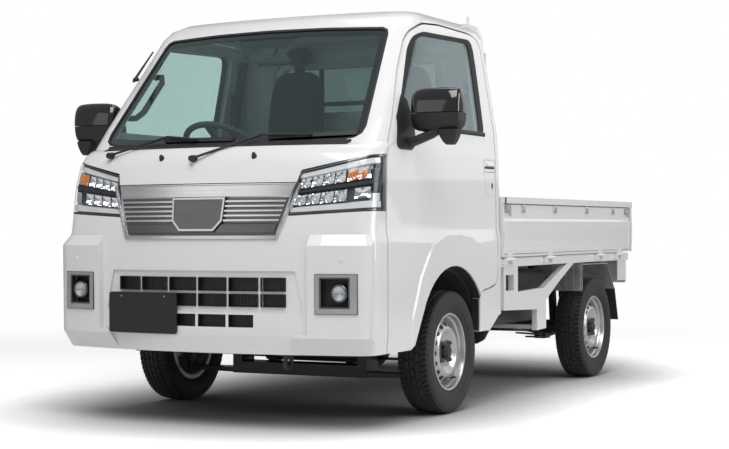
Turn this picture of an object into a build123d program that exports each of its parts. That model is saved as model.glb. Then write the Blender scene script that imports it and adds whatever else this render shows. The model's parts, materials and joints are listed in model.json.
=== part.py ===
from build123d import *
import math
import os

# Kei truck: a cab-over pickup with a flat bed, drop sides and a guard frame behind the cab.
# Millimetres. +Z is up, the truck's front faces -Y, its left side is +X.
# The origin is on the ground, half way along the length.

os.makedirs("parts", exist_ok=True)

# ---------------------------------------------------------------- driving dimensions
LENGTH = 3395.0
WIDTH = 1475.0
HEIGHT = 1780.0
WHEELBASE = 1900.0
FRONT_OVERHANG = 895.0
FRONT_TRACK = 1305.0
REAR_TRACK = 1300.0
TYRE_RADIUS = 264.0
TYRE_WIDTH = 146.0
RIM_RADIUS = 156.0
RIM_WIDTH = 122.0
CAB_LENGTH = 1460.0
CAB_WALL = 38.0
SILL_Z = 300.0
BELT_Z = 1128.0
BED_FLOOR_Z = 655.0
GATE_HEIGHT = 278.0
GATE_THICKNESS = 28.0
RAIL_X = 340.0
RAIL_WIDTH = 50.0
RAIL_HEIGHT = 80.0
FRONT_RAIL_Z = 290.0
RISER_Z = 690.0
FOOTWELL_Z = 400.0
SHEET = 14.0
DRIVER_X = -272.0
PASSENGER_X = 300.0

# clearances
DOOR_GAP = 8.8
PANEL_GAP = 3.0
MOVING_GAP = 6.0
SEAT_FIT = 0.3
TURN_FIT = 0.6
EASED_TURN = 10.0

# ---------------------------------------------------------------- places worked out from them
FRONT = -LENGTH / 2
REAR = LENGTH / 2
HALF = WIDTH / 2
CAB_REAR = FRONT + CAB_LENGTH
AXLE_F = FRONT + FRONT_OVERHANG
AXLE_R = AXLE_F + WHEELBASE
WHEEL_Z = TYRE_RADIUS
RAIL_TOP_F = FRONT_RAIL_Z + RAIL_HEIGHT
SIDES = (("left", 1), ("right", -1))


# ---------------------------------------------------------------- drawing helpers
def save(name, shape):
    solids = shape.solids()
    shape = solids[0] if len(solids) == 1 else Compound(children=list(solids))
    shape.label = name
    export_step(shape, f"parts/{name}.step")


def block(x0, x1, y0, y1, z0, z1):
    centre = ((x0 + x1) / 2, (y0 + y1) / 2, (z0 + z1) / 2)
    return Pos(*centre) * Box(abs(x1 - x0), abs(y1 - y0), abs(z1 - z0))


def mirrored(shape):
    return mirror(shape, about=Plane.YZ)


def on_side(shape, side):
    return shape if side > 0 else mirrored(shape)


def both(shape):
    return shape + mirrored(shape)


def eased(points, reach):
    """A closed outline with each corner that turns more than EASED_TURN cut back to three points."""
    out = []
    for before, corner, after in zip(points[-1:] + points[:-1], points, points[1:] + points[:1]):
        here, back, ahead = Vector(*corner), Vector(*before) - Vector(*corner), Vector(*after) - Vector(*corner)
        if 180 - back.get_angle(ahead) < EASED_TURN:
            out.append(corner)
            continue
        start = here + back.normalized() * min(reach, back.length / 2.2)
        end = here + ahead.normalized() * min(reach, ahead.length / 2.2)
        middle = (start + here * 2 + end) * 0.25
        out += [(p.X, p.Y) for p in (start, middle, end)]
    return out


def outline_face(points, plane, grow=0.0):
    with BuildSketch(plane) as drawing:
        with BuildLine():
            Polyline(*points, close=True)
        make_face()
        if grow:
            offset(amount=grow, kind=Kind.INTERSECTION)
    return drawing.sketch


def side_prism(points, x0, x1, grow=0.0):
    """Outline in (y, z), pushed along X from x0 to x1."""
    return extrude(outline_face(points, Plane.YZ.offset(x0), grow), x1 - x0)


def front_prism(points, y0, y1, grow=0.0):
    """Outline in (x, z), pushed along Y from y0 to y1."""
    plane = Plane(origin=(0, y0, 0), x_dir=(1, 0, 0), z_dir=(0, -1, 0))
    return extrude(outline_face(points, plane, grow), y0 - y1)


def top_prism(points, z0, z1, grow=0.0):
    """Outline in (x, y), pushed along Z from z0 to z1."""
    return extrude(outline_face(points, Plane.XY.offset(z0), grow), z1 - z0)


def rod(start, end, radius, bore=0.0):
    start, end = Vector(*start), Vector(*end)
    line = end - start
    plane = Plane(origin=start, z_dir=line.normalized())
    with BuildSketch(plane) as drawing:
        Circle(radius)
        if bore:
            Circle(bore, mode=Mode.SUBTRACT)
    return extrude(drawing.sketch, line.length)


def cross_rod(x0, x1, y, z, radius, bore=0.0):
    return rod((x0, y, z), (x1, y, z), radius, bore)


def merge(shapes):
    shapes = list(shapes)
    whole = shapes[0]
    for shape in shapes[1:]:
        whole = whole + shape
    return whole


# ---------------------------------------------------------------- cab skin
NOSE_BOW = 2600.0
REAR_CORNER = 42.0
SIDE_TUCK = 6.0
# columns: height, setback of the nose from the truck's front, half width, front corner radius,
#          how far the rear wall leans forward, share of a wall's thickness taken off the height
CAB_ROWS = (
    (SILL_Z, 26, HALF - SIDE_TUCK - 7, 70, 0, 0.0),
    (385, 8, HALF - SIDE_TUCK, 75, 0, 0.0),
    (740, 8, HALF - SIDE_TUCK, 75, 0, 0.0),
    (790, 13, HALF - 14, 85, 0, 0.0),
    (973, 43, HALF - 15, 85, 0, 0.0),
    (1060, 69, HALF - 16, 95, 0, 0.0),
    (BELT_Z - 23, 97, HALF - 17, 108, 0, 0.0),
    (BELT_Z, 130, HALF - 18, 118, 0, 0.0),
    (BELT_Z + 8, 158, HALF - 19, 120, 0, 0.0),
    (BELT_Z + 102, 238, HALF - 25, 121, 0, 0.0),
    (1650, 595, HALF - 92, 121, 8, 0.0),
    (1692, 645, HALF - 113, 115, 18, 0.6),
    (1722, 720, HALF - 155, 110, 45, 1.0),
    (1738, 830, HALF - 235, 110, 110, 1.0),
    (1744, 980, HALF - 380, 110, 250, 1.0),
)
_cabs = {}


def cab_section(row, inset):
    height, setback, half, corner, lean, drop = row
    nose = FRONT + setback + inset
    half = half - inset
    rear = CAB_REAR - lean - inset
    shoulder = nose + NOSE_BOW - math.sqrt(NOSE_BOW**2 - half**2)
    with BuildSketch(Plane.XY.offset(height - drop * inset)) as drawing:
        with BuildLine():
            ThreePointArc((-half, shoulder), (0, nose), (half, shoulder))
            Polyline((half, shoulder), (half, rear), (-half, rear), (-half, shoulder))
        make_face()
        corners = drawing.vertices().sort_by(Axis.Y)
        fillet(corners[:2], max(corner - inset, 20))
        corners = drawing.vertices().sort_by(Axis.Y)
        fillet(corners[-2:], max(REAR_CORNER - inset, 3))
    return drawing.sketch.faces()[0]


def cab(inset):
    """The closed cab body, its skin moved inward by inset."""
    if inset not in _cabs:
        _cabs[inset] = loft([cab_section(row, inset) for row in CAB_ROWS], ruled=True)
    return _cabs[inset]


def cab_layer(outer, inner):
    return cab(outer) - cab(inner)


# ---------------------------------------------------------------- cab outlines, left side in (y, z)
SEAM_FRONT = FRONT + 255
SEAM_REAR = CAB_REAR - 68
DOOR_TOP = 1677.0
ARCH_RADIUS = 369.0
ARCH_TOP_ANGLES = range(43, 152, 9)
ARCH_REAR = AXLE_F + 285
ARCH_FRONT = AXLE_F - 415


def arch_point(angle, radius=ARCH_RADIUS, axle=AXLE_F):
    a = math.radians(angle)
    return (axle + radius * math.cos(a), WHEEL_Z + radius * math.sin(a))


ARCH = (
    [(ARCH_REAR, SILL_Z - 40), (ARCH_REAR, arch_point(ARCH_TOP_ANGLES[0])[1] - 20)]
    + [arch_point(a) for a in ARCH_TOP_ANGLES]
    + [(ARCH_FRONT, SILL_Z), (ARCH_FRONT, SILL_Z - 40)]
)
DOOR = eased([
    (SEAM_FRONT, SILL_Z - 20),
    (SEAM_FRONT, 748),
    (SEAM_FRONT + 13, 1081),
    (SEAM_FRONT + 46, BELT_Z + 3),
    (FRONT + 430, 1312),
    (FRONT + 522, 1441),
    (FRONT + 631, 1577),
    (FRONT + 680, 1625),
    (FRONT + 767, 1663),
    (FRONT + 957, DOOR_TOP),
    (SEAM_REAR - 96, DOOR_TOP - 4),
    (SEAM_REAR - 30, 1652),
    (SEAM_REAR - 8, 1609),
    (SEAM_REAR, 1100),
    (SEAM_REAR, 570),
    (SEAM_REAR - 30, 534),
    (ARCH_REAR, 512),
    (ARCH_REAR, SILL_Z - 20),
], 32.0)
DOOR_WINDOW = eased([
    (FRONT + 432, 1222),
    (FRONT + 475, 1313),
    (FRONT + 632, 1534),
    (FRONT + 690, 1590),
    (FRONT + 766, 1612),
    (SEAM_REAR - 130, 1627),
    (SEAM_REAR - 112, 1600),
    (SEAM_REAR - 112, 1507),
    (SEAM_REAR - 128, 1222),
], 28.0)
FLARE = [
    (AXLE_F - 434, 431),
    (AXLE_F - 347, 602),
    (AXLE_F - 228, 738),
    (AXLE_F - 90, 782),
    (AXLE_F + 63, 786),
    (AXLE_F + 200, 765),
    (AXLE_F + 300, 728),
    (AXLE_F + 375, 641),
    (AXLE_F + 421, 540),
    (AXLE_F + 421, SILL_Z),
    (AXLE_F - 434, SILL_Z),
]
REAR_SIDE_FOOT = [
    (ARCH_REAR, 334),
    (SEAM_REAR - 88, 334),
    (SEAM_REAR + 8, 397),
    (CAB_REAR + 10, 410),
    (CAB_REAR + 10, SILL_Z - 20),
    (ARCH_REAR, SILL_Z - 20),
]

DOOR_EDGE = SEAM_FRONT + DOOR_GAP / 2
DOOR_HINGE_X = HALF - SIDE_TUCK - 12.5
FLARE_OUT = HALF - 0.5
FLARE_DEPTH = 11.5
FLARE_TAPER = 60
DOOR_HINGE_Y = DOOR_EDGE + 20.0
DOOR_HINGES_Z = ((400, 440), (650, 690))
DOOR_PIN = 4.0

# front outlines in (x, z)
WINDSCREEN_HALF = [(0, 1138), (330, 1142), (545, 1148), (588, 1156), (613, 1173), (619, 1203),
                   (556, 1606), (546, 1627), (524, 1637), (280, 1645), (0, 1648)]
WINDSCREEN = WINDSCREEN_HALF + [(-x, z) for x, z in reversed(WINDSCREEN_HALF[1:-1])]
REAR_GLASS = [(-430, 1338), (430, 1338), (422, 1582), (-422, 1582)]
LAMP = [(388, 846), (437, 1022), (HALF + 20, 1092), (HALF + 20, 866)]
GRILLE = [(-419, 974), (-349, 757), (349, 757), (419, 974)]
NOSE_SPLIT_Z = 960.0
FRAME_SPLIT_X = 572.0
ROOF_SPLIT_Z = 1655.0
GLASS_THICKNESS = 4.0
GLASS_SEAT = 10.0
GLASS_LIP = 16.0
BULKHEAD = 12.0
FAR = 2000.0


# ---------------------------------------------------------------- cab panels
def cab_shell():
    """The whole skin as one wall, with its glass seats, lamp places and arches cut out."""
    shell = cab_layer(0, CAB_WALL)
    seat = cab_layer(-1, GLASS_SEAT)
    for outline, y0, y1 in ((WINDSCREEN, AXLE_F - 100, FRONT), (REAR_GLASS, CAB_REAR + 10, CAB_REAR - 120)):
        shell = shell - front_prism(outline, y0, y1, -GLASS_LIP)
        shell = shell - (seat & front_prism(outline, y0, y1, PANEL_GAP))
    shell = shell - both(side_prism(ARCH, HALF - 200, HALF + 20))
    return shell


def door_shell():
    """The left door: skin, frame and inner panel in one, with the window's hole and glass seat."""
    blank = cab_layer(0, CAB_WALL) & side_prism(DOOR, HALF - 230, HALF + 20, -DOOR_GAP / 2)
    flare = extrude(outline_face(FLARE, Plane.YZ.offset(FLARE_OUT - FLARE_DEPTH)), FLARE_DEPTH, taper=FLARE_TAPER)
    flare = flare & side_prism(DOOR, HALF - 100, HALF + 20, -DOOR_GAP / 2)
    blank = blank + flare
    blank = blank - side_prism(ARCH, HALF - 230, HALF + 20)
    window = side_prism(DOOR_WINDOW, HALF - 230, HALF + 20)
    seat = cab_layer(-1, GLASS_SEAT) & side_prism(DOOR_WINDOW, HALF - 230, HALF + 20, GLASS_LIP)
    door = blank - window - seat
    for low, high in DOOR_HINGES_Z:
        pocket = block(DOOR_HINGE_X - 46.5, DOOR_HINGE_X + 7.5, DOOR_EDGE - 20, DOOR_HINGE_Y + 9,
                       low - MOVING_GAP, high + MOVING_GAP)
        pin = rod((DOOR_HINGE_X, DOOR_HINGE_Y, low - 10), (DOOR_HINGE_X, DOOR_HINGE_Y, high + 10), DOOR_PIN)
        door = door - pocket + pin
    return door


def hinge_arms():
    """The body's half of the left door's hinges, reaching from the bulkhead to the hinge line."""
    arms = []
    inner = HALF - SIDE_TUCK - CAB_WALL - BULKHEAD
    for low, high in DOOR_HINGES_Z:
        arm = block(inner + 2, inner + BULKHEAD - 1, SEAM_FRONT - 40, DOOR_HINGE_Y + 4, low, high)
        arm = arm + block(inner + 2, DOOR_HINGE_X, DOOR_HINGE_Y - 4, DOOR_HINGE_Y + 4, low, high)
        eye = rod((DOOR_HINGE_X, DOOR_HINGE_Y, low), (DOOR_HINGE_X, DOOR_HINGE_Y, high), DOOR_PIN + 3.4)
        bore = rod((DOOR_HINGE_X, DOOR_HINGE_Y, low), (DOOR_HINGE_X, DOOR_HINGE_Y, high), DOOR_PIN + TURN_FIT)
        arms.append(arm + eye - bore)
    return both(merge(arms))


def glass_layer():
    return cab_layer(GLASS_SEAT - GLASS_THICKNESS - SEAT_FIT, GLASS_SEAT - SEAT_FIT)


def build_cab():
    shell = cab_shell()
    doors = both(side_prism(DOOR, HALF - 230, HALF + 30, DOOR_GAP / 2))
    shell = shell - doors
    lamps = both(front_prism(LAMP, AXLE_F - 400, FRONT - 20))
    lamps = lamps & block(-FAR, FAR, FRONT - 10, SEAM_FRONT - DOOR_GAP / 2, 0, FAR)
    lamp_hole = both(front_prism(LAMP, AXLE_F - 400, FRONT - 20, PANEL_GAP))
    grille = front_prism(GRILLE, AXLE_F - 400, FRONT - 20)
    grille_hole = front_prism(GRILLE, AXLE_F - 400, FRONT - 20, PANEL_GAP)
    nose = shell - lamp_hole - grille_hole

    bumper = nose & block(-FAR, FAR, FRONT - 10, SEAM_FRONT, 0, NOSE_SPLIT_Z)
    save("bumper", with_intake(bumper))
    hood = nose & block(-FRAME_SPLIT_X, FRAME_SPLIT_X, FRONT - 10, AXLE_F - 300, NOSE_SPLIT_Z, BELT_Z)
    save("front_panel", hood)
    frame = shell - lamp_hole - grille_hole
    frame = frame & block(-FAR, FAR, FRONT - 10, CAB_REAR - 400, NOSE_SPLIT_Z, ROOF_SPLIT_Z)
    frame = frame - block(-FRAME_SPLIT_X, FRAME_SPLIT_X, FRONT - 10, AXLE_F, 0, BELT_Z)
    save("windscreen_frame", frame)
    save("cab_roof", shell & block(-FAR, FAR, FRONT, REAR, ROOF_SPLIT_Z, FAR))
    rear = shell & block(-FAR, FAR, CAB_REAR - 500, REAR, 0, ROOF_SPLIT_Z)
    rear = rear - both(side_prism(REAR_SIDE_FOOT, HALF - 230, HALF + 20))
    middle = block(-REAR_SPLIT_X, REAR_SPLIT_X, CAB_REAR - 600, REAR, 0, FAR)
    save("cab_rear_wall", (rear & middle) - block(-FAR, FAR, FRONT, REAR, 0, REAR_WALL_FOOT))
    save("cab_side_panels", rear - middle)

    lens = cab_layer(-2, CAB_WALL) & lamps
    save("headlamps", lens)
    save("grille", cab_layer(2, CAB_WALL) & grille)

    glass = glass_layer()
    front = glass & front_prism(WINDSCREEN, AXLE_F - 100, FRONT)
    back = glass & front_prism(REAR_GLASS, CAB_REAR + 10, CAB_REAR - 120)
    save("windscreen", front)
    save("rear_window", back)

    door = door_shell()
    pane = glass & side_prism(DOOR_WINDOW, HALF - 230, HALF + 20, GLASS_LIP - PANEL_GAP)
    for name, side in SIDES:
        save(f"door_{name}", on_side(door, side))
        save(f"door_glass_{name}", on_side(pane, side))
        save(f"mirror_{name}", on_side(door_mirror(), side))


REAR_SPLIT_X = 610.0
REAR_WALL_FOOT = 480.0

# bumper intake: rows of cells, columns: z low, z high, x limits of the row
INTAKE_ROWS = ((547, 602, -400, 396), (485, 537, -400, 396), (405, 455, -250, 262))
INTAKE_BARS_X = (-280, -140, 0, 140, 280)
INTAKE_BAR = 12.0
# front corners' raised blocks round the fog lamps, and the lip under them, in (x, z)
POD = [(492, 384), (492, 770), (HALF - 1, 770), (HALF - 1, 384)]
LIP = [(440, 385), (HALF - 1, 385), (HALF - 1, SILL_Z), (400, SILL_Z)]
# columns: height, how far the block stands proud of the skin
POD_ROWS = ((SILL_Z, 2.0), (368.0, 28.0), (728.0, 28.0), (770.0, 0.5))
POD_BACK = FRONT + 130.0
CHIN_PROUD = 7.0
CHIN_TOP = 370.0
RECESS = [(-430, 628), (430, 628), (466, 465), (-466, 465)]
RECESS_DEPTH = 9.0
FOG_X = (527, 664)
FOG_Z = (475, 610)
FOG_RADIUS = 34.0


def row_at(height):
    """The cab's row at any height, read between the table's rows."""
    for low, high in zip(CAB_ROWS, CAB_ROWS[1:]):
        if low[0] <= height <= high[0]:
            share = (height - low[0]) / (high[0] - low[0])
            return tuple(a + (b - a) * share for a, b in zip(low, high))
    raise ValueError(height)


def nose_y(x, z):
    """Where the skin's front face lies at x and z."""
    return FRONT + row_at(z)[1] + NOSE_BOW - math.sqrt(NOSE_BOW**2 - x**2)


def with_intake(bumper):
    cells = []
    for low, high, left, right in INTAKE_ROWS:
        edges = [left] + [x for x in INTAKE_BARS_X if left < x < right] + [right]
        for x0, x1 in zip(edges, edges[1:]):
            cells.append(block(x0 + INTAKE_BAR / 2, x1 - INTAKE_BAR / 2, FRONT - 10, AXLE_F - 400, low, high))
    fog = block(*FOG_X, FRONT - 20, AXLE_F - 400, *FOG_Z)
    inner = cab(CAB_WALL / 2)
    reach = block(-FAR, FAR, FRONT - 40, POD_BACK, SILL_Z, FAR)
    proud = loft([cab_section(row_at(height), -out) for height, out in POD_ROWS], ruled=True)
    raised = (proud & both(front_prism(POD, AXLE_F - 400, FRONT - 40) + front_prism(LIP, AXLE_F - 400, FRONT - 40)))
    chin = cab(-CHIN_PROUD) & block(-440, 440, FRONT - 40, POD_BACK, SILL_Z, CHIN_TOP)
    raised = (raised + chin) & reach
    recess = cab_layer(-2, RECESS_DEPTH) & front_prism(RECESS, AXLE_F - 400, FRONT - 30)
    return (bumper + (raised - inner)) - recess - merge(cells) - both(fog)


def build_fog_lamps():
    """Each lamp's housing fills the recess in the bumper and carries a round lamp."""
    rect = [(FOG_X[0] + SEAT_FIT, FOG_Z[0] + SEAT_FIT), (FOG_X[1] - SEAT_FIT, FOG_Z[0] + SEAT_FIT),
            (FOG_X[1] - SEAT_FIT, FOG_Z[1] - SEAT_FIT), (FOG_X[0] + SEAT_FIT, FOG_Z[1] - SEAT_FIT)]
    base = cab_layer(14, CAB_WALL) & front_prism(rect, AXLE_F - 400, FRONT - 30)
    x, z = sum(FOG_X) / 2 + 18, sum(FOG_Z) / 2
    lamp = rod((x, nose_y(x, z) - 12, z), (x, nose_y(x, z) + 24, z), FOG_RADIUS)
    save("fog_lamps", both(base + lamp))


# wipers: pivot (x, z), arm's elbow (x, z), blade's ends (x, z)
WIPERS = (((-505, 1103), (-252, 1178), (-271, 1164), (71, 1160)),
          ((-53, 1079), (207, 1174), (230, 1164), (600, 1174)))
BLADE_PROUD = 12.0
BLADE_DEEP = 16.0
ARM_PROUD = 26.0
ARM_RADIUS = 5.0


def build_wipers():
    glass_face = GLASS_SEAT - GLASS_THICKNESS - SEAT_FIT
    units = []
    for pivot, elbow, start, end in WIPERS:
        middle = ((start[0] + end[0]) / 2, (start[1] + end[1]) / 2)
        outline = [(start[0], start[1] - BLADE_DEEP / 2), (end[0], end[1] - BLADE_DEEP / 2),
                   (end[0], end[1] + BLADE_DEEP / 2), (start[0], start[1] + BLADE_DEEP / 2)]
        blade = (cab(-BLADE_PROUD) - cab(glass_face - SEAT_FIT)) & front_prism(outline, AXLE_F - 100, FRONT)
        stops = [(x, nose_y(x, z) - ARM_PROUD, z) for x, z in (pivot, elbow, middle)]
        arm = rod(stops[0], stops[1], ARM_RADIUS) + rod(stops[1], stops[2], ARM_RADIUS)
        x, y, z = stops[0]
        base = rod((x, y - 6, z), (x, y + 60, z), 12)
        foot = rod((middle[0], stops[2][1] - 2, middle[1]), (middle[0], stops[2][1] + ARM_PROUD, middle[1]), 7)
        units.append(blade + (arm + base + foot - cab(-SEAT_FIT)))
    save("wipers", merge(units))


def door_mirror():
    """Left mirror: rounded head on a short foot that sits on the door's front corner."""
    head = block(*MIRROR_X, *MIRROR_Y, *MIRROR_Z)
    head = fillet(head.edges().filter_by(Axis.Z), 30)
    head = fillet(head.edges().group_by(Axis.Z)[-1], 22)
    foot_points = [(MIRROR_Y[0] + 12, MIRROR_FOOT_Z + 26), (MIRROR_Y[0] + 12, MIRROR_Z[0] + 30),
                   (MIRROR_Y[1] - 12, MIRROR_Z[0] + 30), (MIRROR_Y[1] - 12, MIRROR_FOOT_Z + 26)]
    foot = side_prism(foot_points, HALF - 40, MIRROR_X[1] - 40)
    foot = foot - cab(-SEAT_FIT)
    return head + foot


MIRROR_X = (732.0, 946.0)
MIRROR_Y = (FRONT + 447.0, FRONT + 540.0)
MIRROR_Z = (1180.0, 1361.0)
MIRROR_FOOT_Z = 1120.0


# ---------------------------------------------------------------- cab floor
BAY_X = 400.0
WELL_RADIUS = 350.0
FLOOR_HALF = HALF - CAB_WALL - 13.0
FLOOR_FRONT = FRONT + 110.0
RISER_FRONT = AXLE_F - 352.0
STRUT_HOLE = 66.0


def build_floor():
    """The nose bulkhead, the footwells' floor, and the seat riser over the engine bay with its wheel houses."""
    skin = cab(CAB_WALL + SEAT_FIT) - cab(CAB_WALL + BULKHEAD)
    bulkhead = skin & block(-FAR, FAR, FRONT, SEAM_FRONT - 20, FOOTWELL_Z - 60, BELT_Z - 30)
    bulkhead = bulkhead - front_prism(GRILLE, AXLE_F, FRONT - 20, -60)
    save("nose_bulkhead", bulkhead + hinge_arms())
    room = cab(CAB_WALL + BULKHEAD + SEAT_FIT)
    slab = block(-FLOOR_HALF, FLOOR_HALF, FRONT, RISER_FRONT - SEAT_FIT, FOOTWELL_Z - SHEET, FOOTWELL_Z)
    save("cab_floor", room & slab)
    riser_y1 = CAB_REAR - CAB_WALL - SEAT_FIT
    riser = block(-FLOOR_HALF, FLOOR_HALF, RISER_FRONT, riser_y1, SILL_Z + 40, RISER_Z)
    riser = riser - block(-BAY_X, BAY_X, RISER_FRONT + SHEET, REAR, 0, RISER_Z - SHEET)
    pocket = block(BAY_X + SHEET, FLOOR_HALF - SHEET, RISER_FRONT + SHEET, riser_y1 - SHEET, 0, RISER_Z - SHEET)
    well_room = cross_rod(BAY_X + SHEET, HALF, AXLE_F, WHEEL_Z, WELL_RADIUS)
    well_room = well_room + block(BAY_X + SHEET, HALF, AXLE_F - WELL_RADIUS, AXLE_F + WELL_RADIUS, 0, WHEEL_Z)
    liner = cross_rod(BAY_X, FLOOR_HALF, AXLE_F, WHEEL_Z, WELL_RADIUS + SHEET)
    liner = liner & block(0, FAR, FRONT, REAR, SILL_Z + 40, FAR)
    riser = riser - both(pocket) + both(liner)
    riser = riser - both(well_room)
    rear_foot = [(AXLE_F + WELL_RADIUS + SHEET, 0), (AXLE_F + WELL_RADIUS + SHEET, 345),
                 (SEAM_REAR - 90, 345), (SEAM_REAR + 10, 420), (REAR, 420), (REAR, 0)]
    riser = riser - side_prism(rear_foot, -FAR, FAR)
    base, top = kingpin_point(0), kingpin_point(KINGPIN_TOP)
    holes = both(rod(base, top, STRUT_HOLE))
    riser = riser - holes
    rails = both(block(RAIL_X - RAIL_WIDTH / 2 - 6, RAIL_X + RAIL_WIDTH / 2 + 6, FRONT, REAR, 0, RAIL_TOP_F + 6))
    save("seat_riser", riser - rails)


# ---------------------------------------------------------------- steering and front suspension
KINGPIN_X = FRONT_TRACK / 2 - 70.0
KINGPIN_LEAN = math.radians(11)
KINGPIN_TOP = 407.0
KINGPIN_LOW = -96.0
HUB_FACE_X = FRONT_TRACK / 2 + 28.0
HUB_INNER_X = KINGPIN_X + 46.0
ARM_LENGTH = 90.0
EYE_RADIUS = 14.0
EYE_DEPTH = 14.0
ARM_EYE_Z = WHEEL_Z - 24.0
STEER_LIMIT = math.radians(35)
ARM_DIP = ARM_LENGTH * math.sin(KINGPIN_LEAN) * math.sin(STEER_LIMIT)
LINK_EYE_Z = ARM_EYE_Z - EYE_DEPTH - ARM_DIP - MOVING_GAP
LINK_OFFSET = 8.0
RACK_RADIUS = 11.0
RACK_TUBE = 22.0
RACK_Y = AXLE_F + ARM_LENGTH - LINK_OFFSET
RACK_X = 240.0


def kingpin_point(t):
    """Point at distance t above wheel-centre height along the left kingpin line."""
    return (KINGPIN_X - t * math.sin(KINGPIN_LEAN), AXLE_F, WHEEL_Z + t * math.cos(KINGPIN_LEAN))


def build_knuckles():
    spine = rod(kingpin_point(KINGPIN_LOW + 18), kingpin_point(120), 20)
    pin = rod(kingpin_point(KINGPIN_LOW - 12), kingpin_point(KINGPIN_LOW + 20), 8)
    hub = cross_rod(KINGPIN_X - 24, HUB_INNER_X - TURN_FIT, AXLE_F, WHEEL_Z, 34)
    tube = rod(kingpin_point(110), kingpin_point(285), 23)
    piston = rod(kingpin_point(280), kingpin_point(KINGPIN_TOP - 12), 10)
    seat = rod(kingpin_point(272), kingpin_point(280), 52)
    spring = rod(kingpin_point(279), kingpin_point(KINGPIN_TOP - 22), 48, 38)
    mount = rod(kingpin_point(KINGPIN_TOP - 24), kingpin_point(KINGPIN_TOP - 2), 54)
    arm = block(KINGPIN_X - 12, KINGPIN_X + 12, AXLE_F, AXLE_F + ARM_LENGTH, ARM_EYE_Z, ARM_EYE_Z + EYE_DEPTH)
    eye = rod((KINGPIN_X, AXLE_F + ARM_LENGTH, ARM_EYE_Z),
              (KINGPIN_X, AXLE_F + ARM_LENGTH, ARM_EYE_Z + EYE_DEPTH), EYE_RADIUS)
    caliper = block(KINGPIN_X - 18, HUB_INNER_X - TURN_FIT, AXLE_F - 104, AXLE_F - 20, WHEEL_Z - 30, WHEEL_Z + 40)
    knuckle = spine + pin + hub + tube + piston + seat + spring + mount + arm + eye + caliper
    for name, side in SIDES:
        save(f"knuckle_{name}", on_side(knuckle, side))


def build_rack():
    link_x = KINGPIN_X
    eye = rod((link_x, RACK_Y, LINK_EYE_Z), (link_x, RACK_Y, LINK_EYE_Z + EYE_DEPTH), EYE_RADIUS)
    mid_z = LINK_EYE_Z + EYE_DEPTH / 2
    link = cross_rod(0, link_x, RACK_Y, mid_z, RACK_RADIUS - 5)
    bar = cross_rod(0, RACK_X + 120, RACK_Y, mid_z, RACK_RADIUS)
    save("tie_rods", both(eye + link + bar))


def build_front_suspension():
    mid_z = LINK_EYE_Z + EYE_DEPTH / 2
    tube = cross_rod(-RACK_X, RACK_X, RACK_Y, mid_z, RACK_TUBE, RACK_RADIUS + TURN_FIT)
    rail_low = FRONT_RAIL_Z
    member = block(-RAIL_X, RAIL_X, AXLE_F - 60, AXLE_F + 60, mid_z - 76, mid_z - 24)
    posts = both(block(RAIL_X - 45, RAIL_X, AXLE_F - 60, AXLE_F + 60, mid_z - 60, rail_low))
    posts = posts - block(-FAR, FAR, RACK_Y - 30, RACK_Y + 30, mid_z - 23, mid_z + 23)
    saddles = both(block(RACK_X - 60, RACK_X - 20, RACK_Y - 30, RACK_Y + 26, mid_z - 60, mid_z - 10))
    saddles = saddles - cross_rod(-RACK_X, RACK_X, RACK_Y, mid_z, RACK_TUBE - 2)
    low = Vector(*kingpin_point(KINGPIN_LOW))
    cup = rod(kingpin_point(KINGPIN_LOW - 18), kingpin_point(KINGPIN_LOW + 8), 19, 8 + TURN_FIT)
    cup = cup + rod(kingpin_point(KINGPIN_LOW - 22), kingpin_point(KINGPIN_LOW - 13), 19)
    arm_points = [(RAIL_X - 20, AXLE_F - 58), (RAIL_X - 20, AXLE_F + 58), (low.X - 16, AXLE_F + 17),
                  (low.X - 16, AXLE_F - 17)]
    arm = top_prism(arm_points, low.Z - 26, low.Z - 6)
    body = tube + member + posts + saddles + both(arm + cup)
    save("front_suspension", body)


COLUMN_LEAN = math.radians(55)
WHEEL_HUB = (DRIVER_X, FRONT + 647.0, 1151.0)
STEER_RADIUS = 185.0


def column_point(t):
    """Point at distance t down the steering column from the wheel's hub."""
    return (WHEEL_HUB[0], WHEEL_HUB[1] - t * math.cos(COLUMN_LEAN), WHEEL_HUB[2] - t * math.sin(COLUMN_LEAN))


def build_steering_wheel():
    plane = Plane(origin=column_point(0), x_dir=(1, 0, 0), z_dir=(0, math.cos(COLUMN_LEAN), math.sin(COLUMN_LEAN)))
    ring = plane * Torus(STEER_RADIUS - 14, 14)
    hub = rod(column_point(-6), column_point(34), 52)
    spokes = []
    for angle in (0, 180, 270):
        spoke = Rot(0, 0, angle) * Pos((STEER_RADIUS - 14) / 2, 0, 2) * Box(STEER_RADIUS - 14, 30, 12)
        spokes.append(plane * spoke)
    shaft = rod(column_point(30), column_point(520), 10)
    save("steering_wheel", ring + hub + merge(spokes) + shaft)


def build_column():
    drop = (WHEEL_HUB[2] - FOOTWELL_Z) / math.sin(COLUMN_LEAN)
    tube = rod(column_point(60), column_point(530), 24, 10 + TURN_FIT)
    lower = rod(column_point(530), column_point(drop + 20), 18)
    lower = lower & block(-FAR, FAR, FRONT, REAR, FOOTWELL_Z + SEAT_FIT, FAR)
    bracket = block(DRIVER_X - 40, DRIVER_X + 40, DASH_REAR + SEAT_FIT, column_point(150)[1], 1000, 1060)
    bracket = bracket - rod(column_point(0), column_point(540), 20)
    save("steering_column", tube + lower + bracket)


# ---------------------------------------------------------------- wheels
# tyre section, columns: radius, half width
TYRE_SECTION = ((RIM_RADIUS + 0.4, 51.5), (RIM_RADIUS + 11.4, 55.4), (RIM_RADIUS + 24, 62), (210, 72),
                (238, TYRE_WIDTH / 2), (256, 64), (TYRE_RADIUS, 48))
VENTS = 16
VENT_CIRCLE = 116.0
VENT_RADIUS = 9.5
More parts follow.
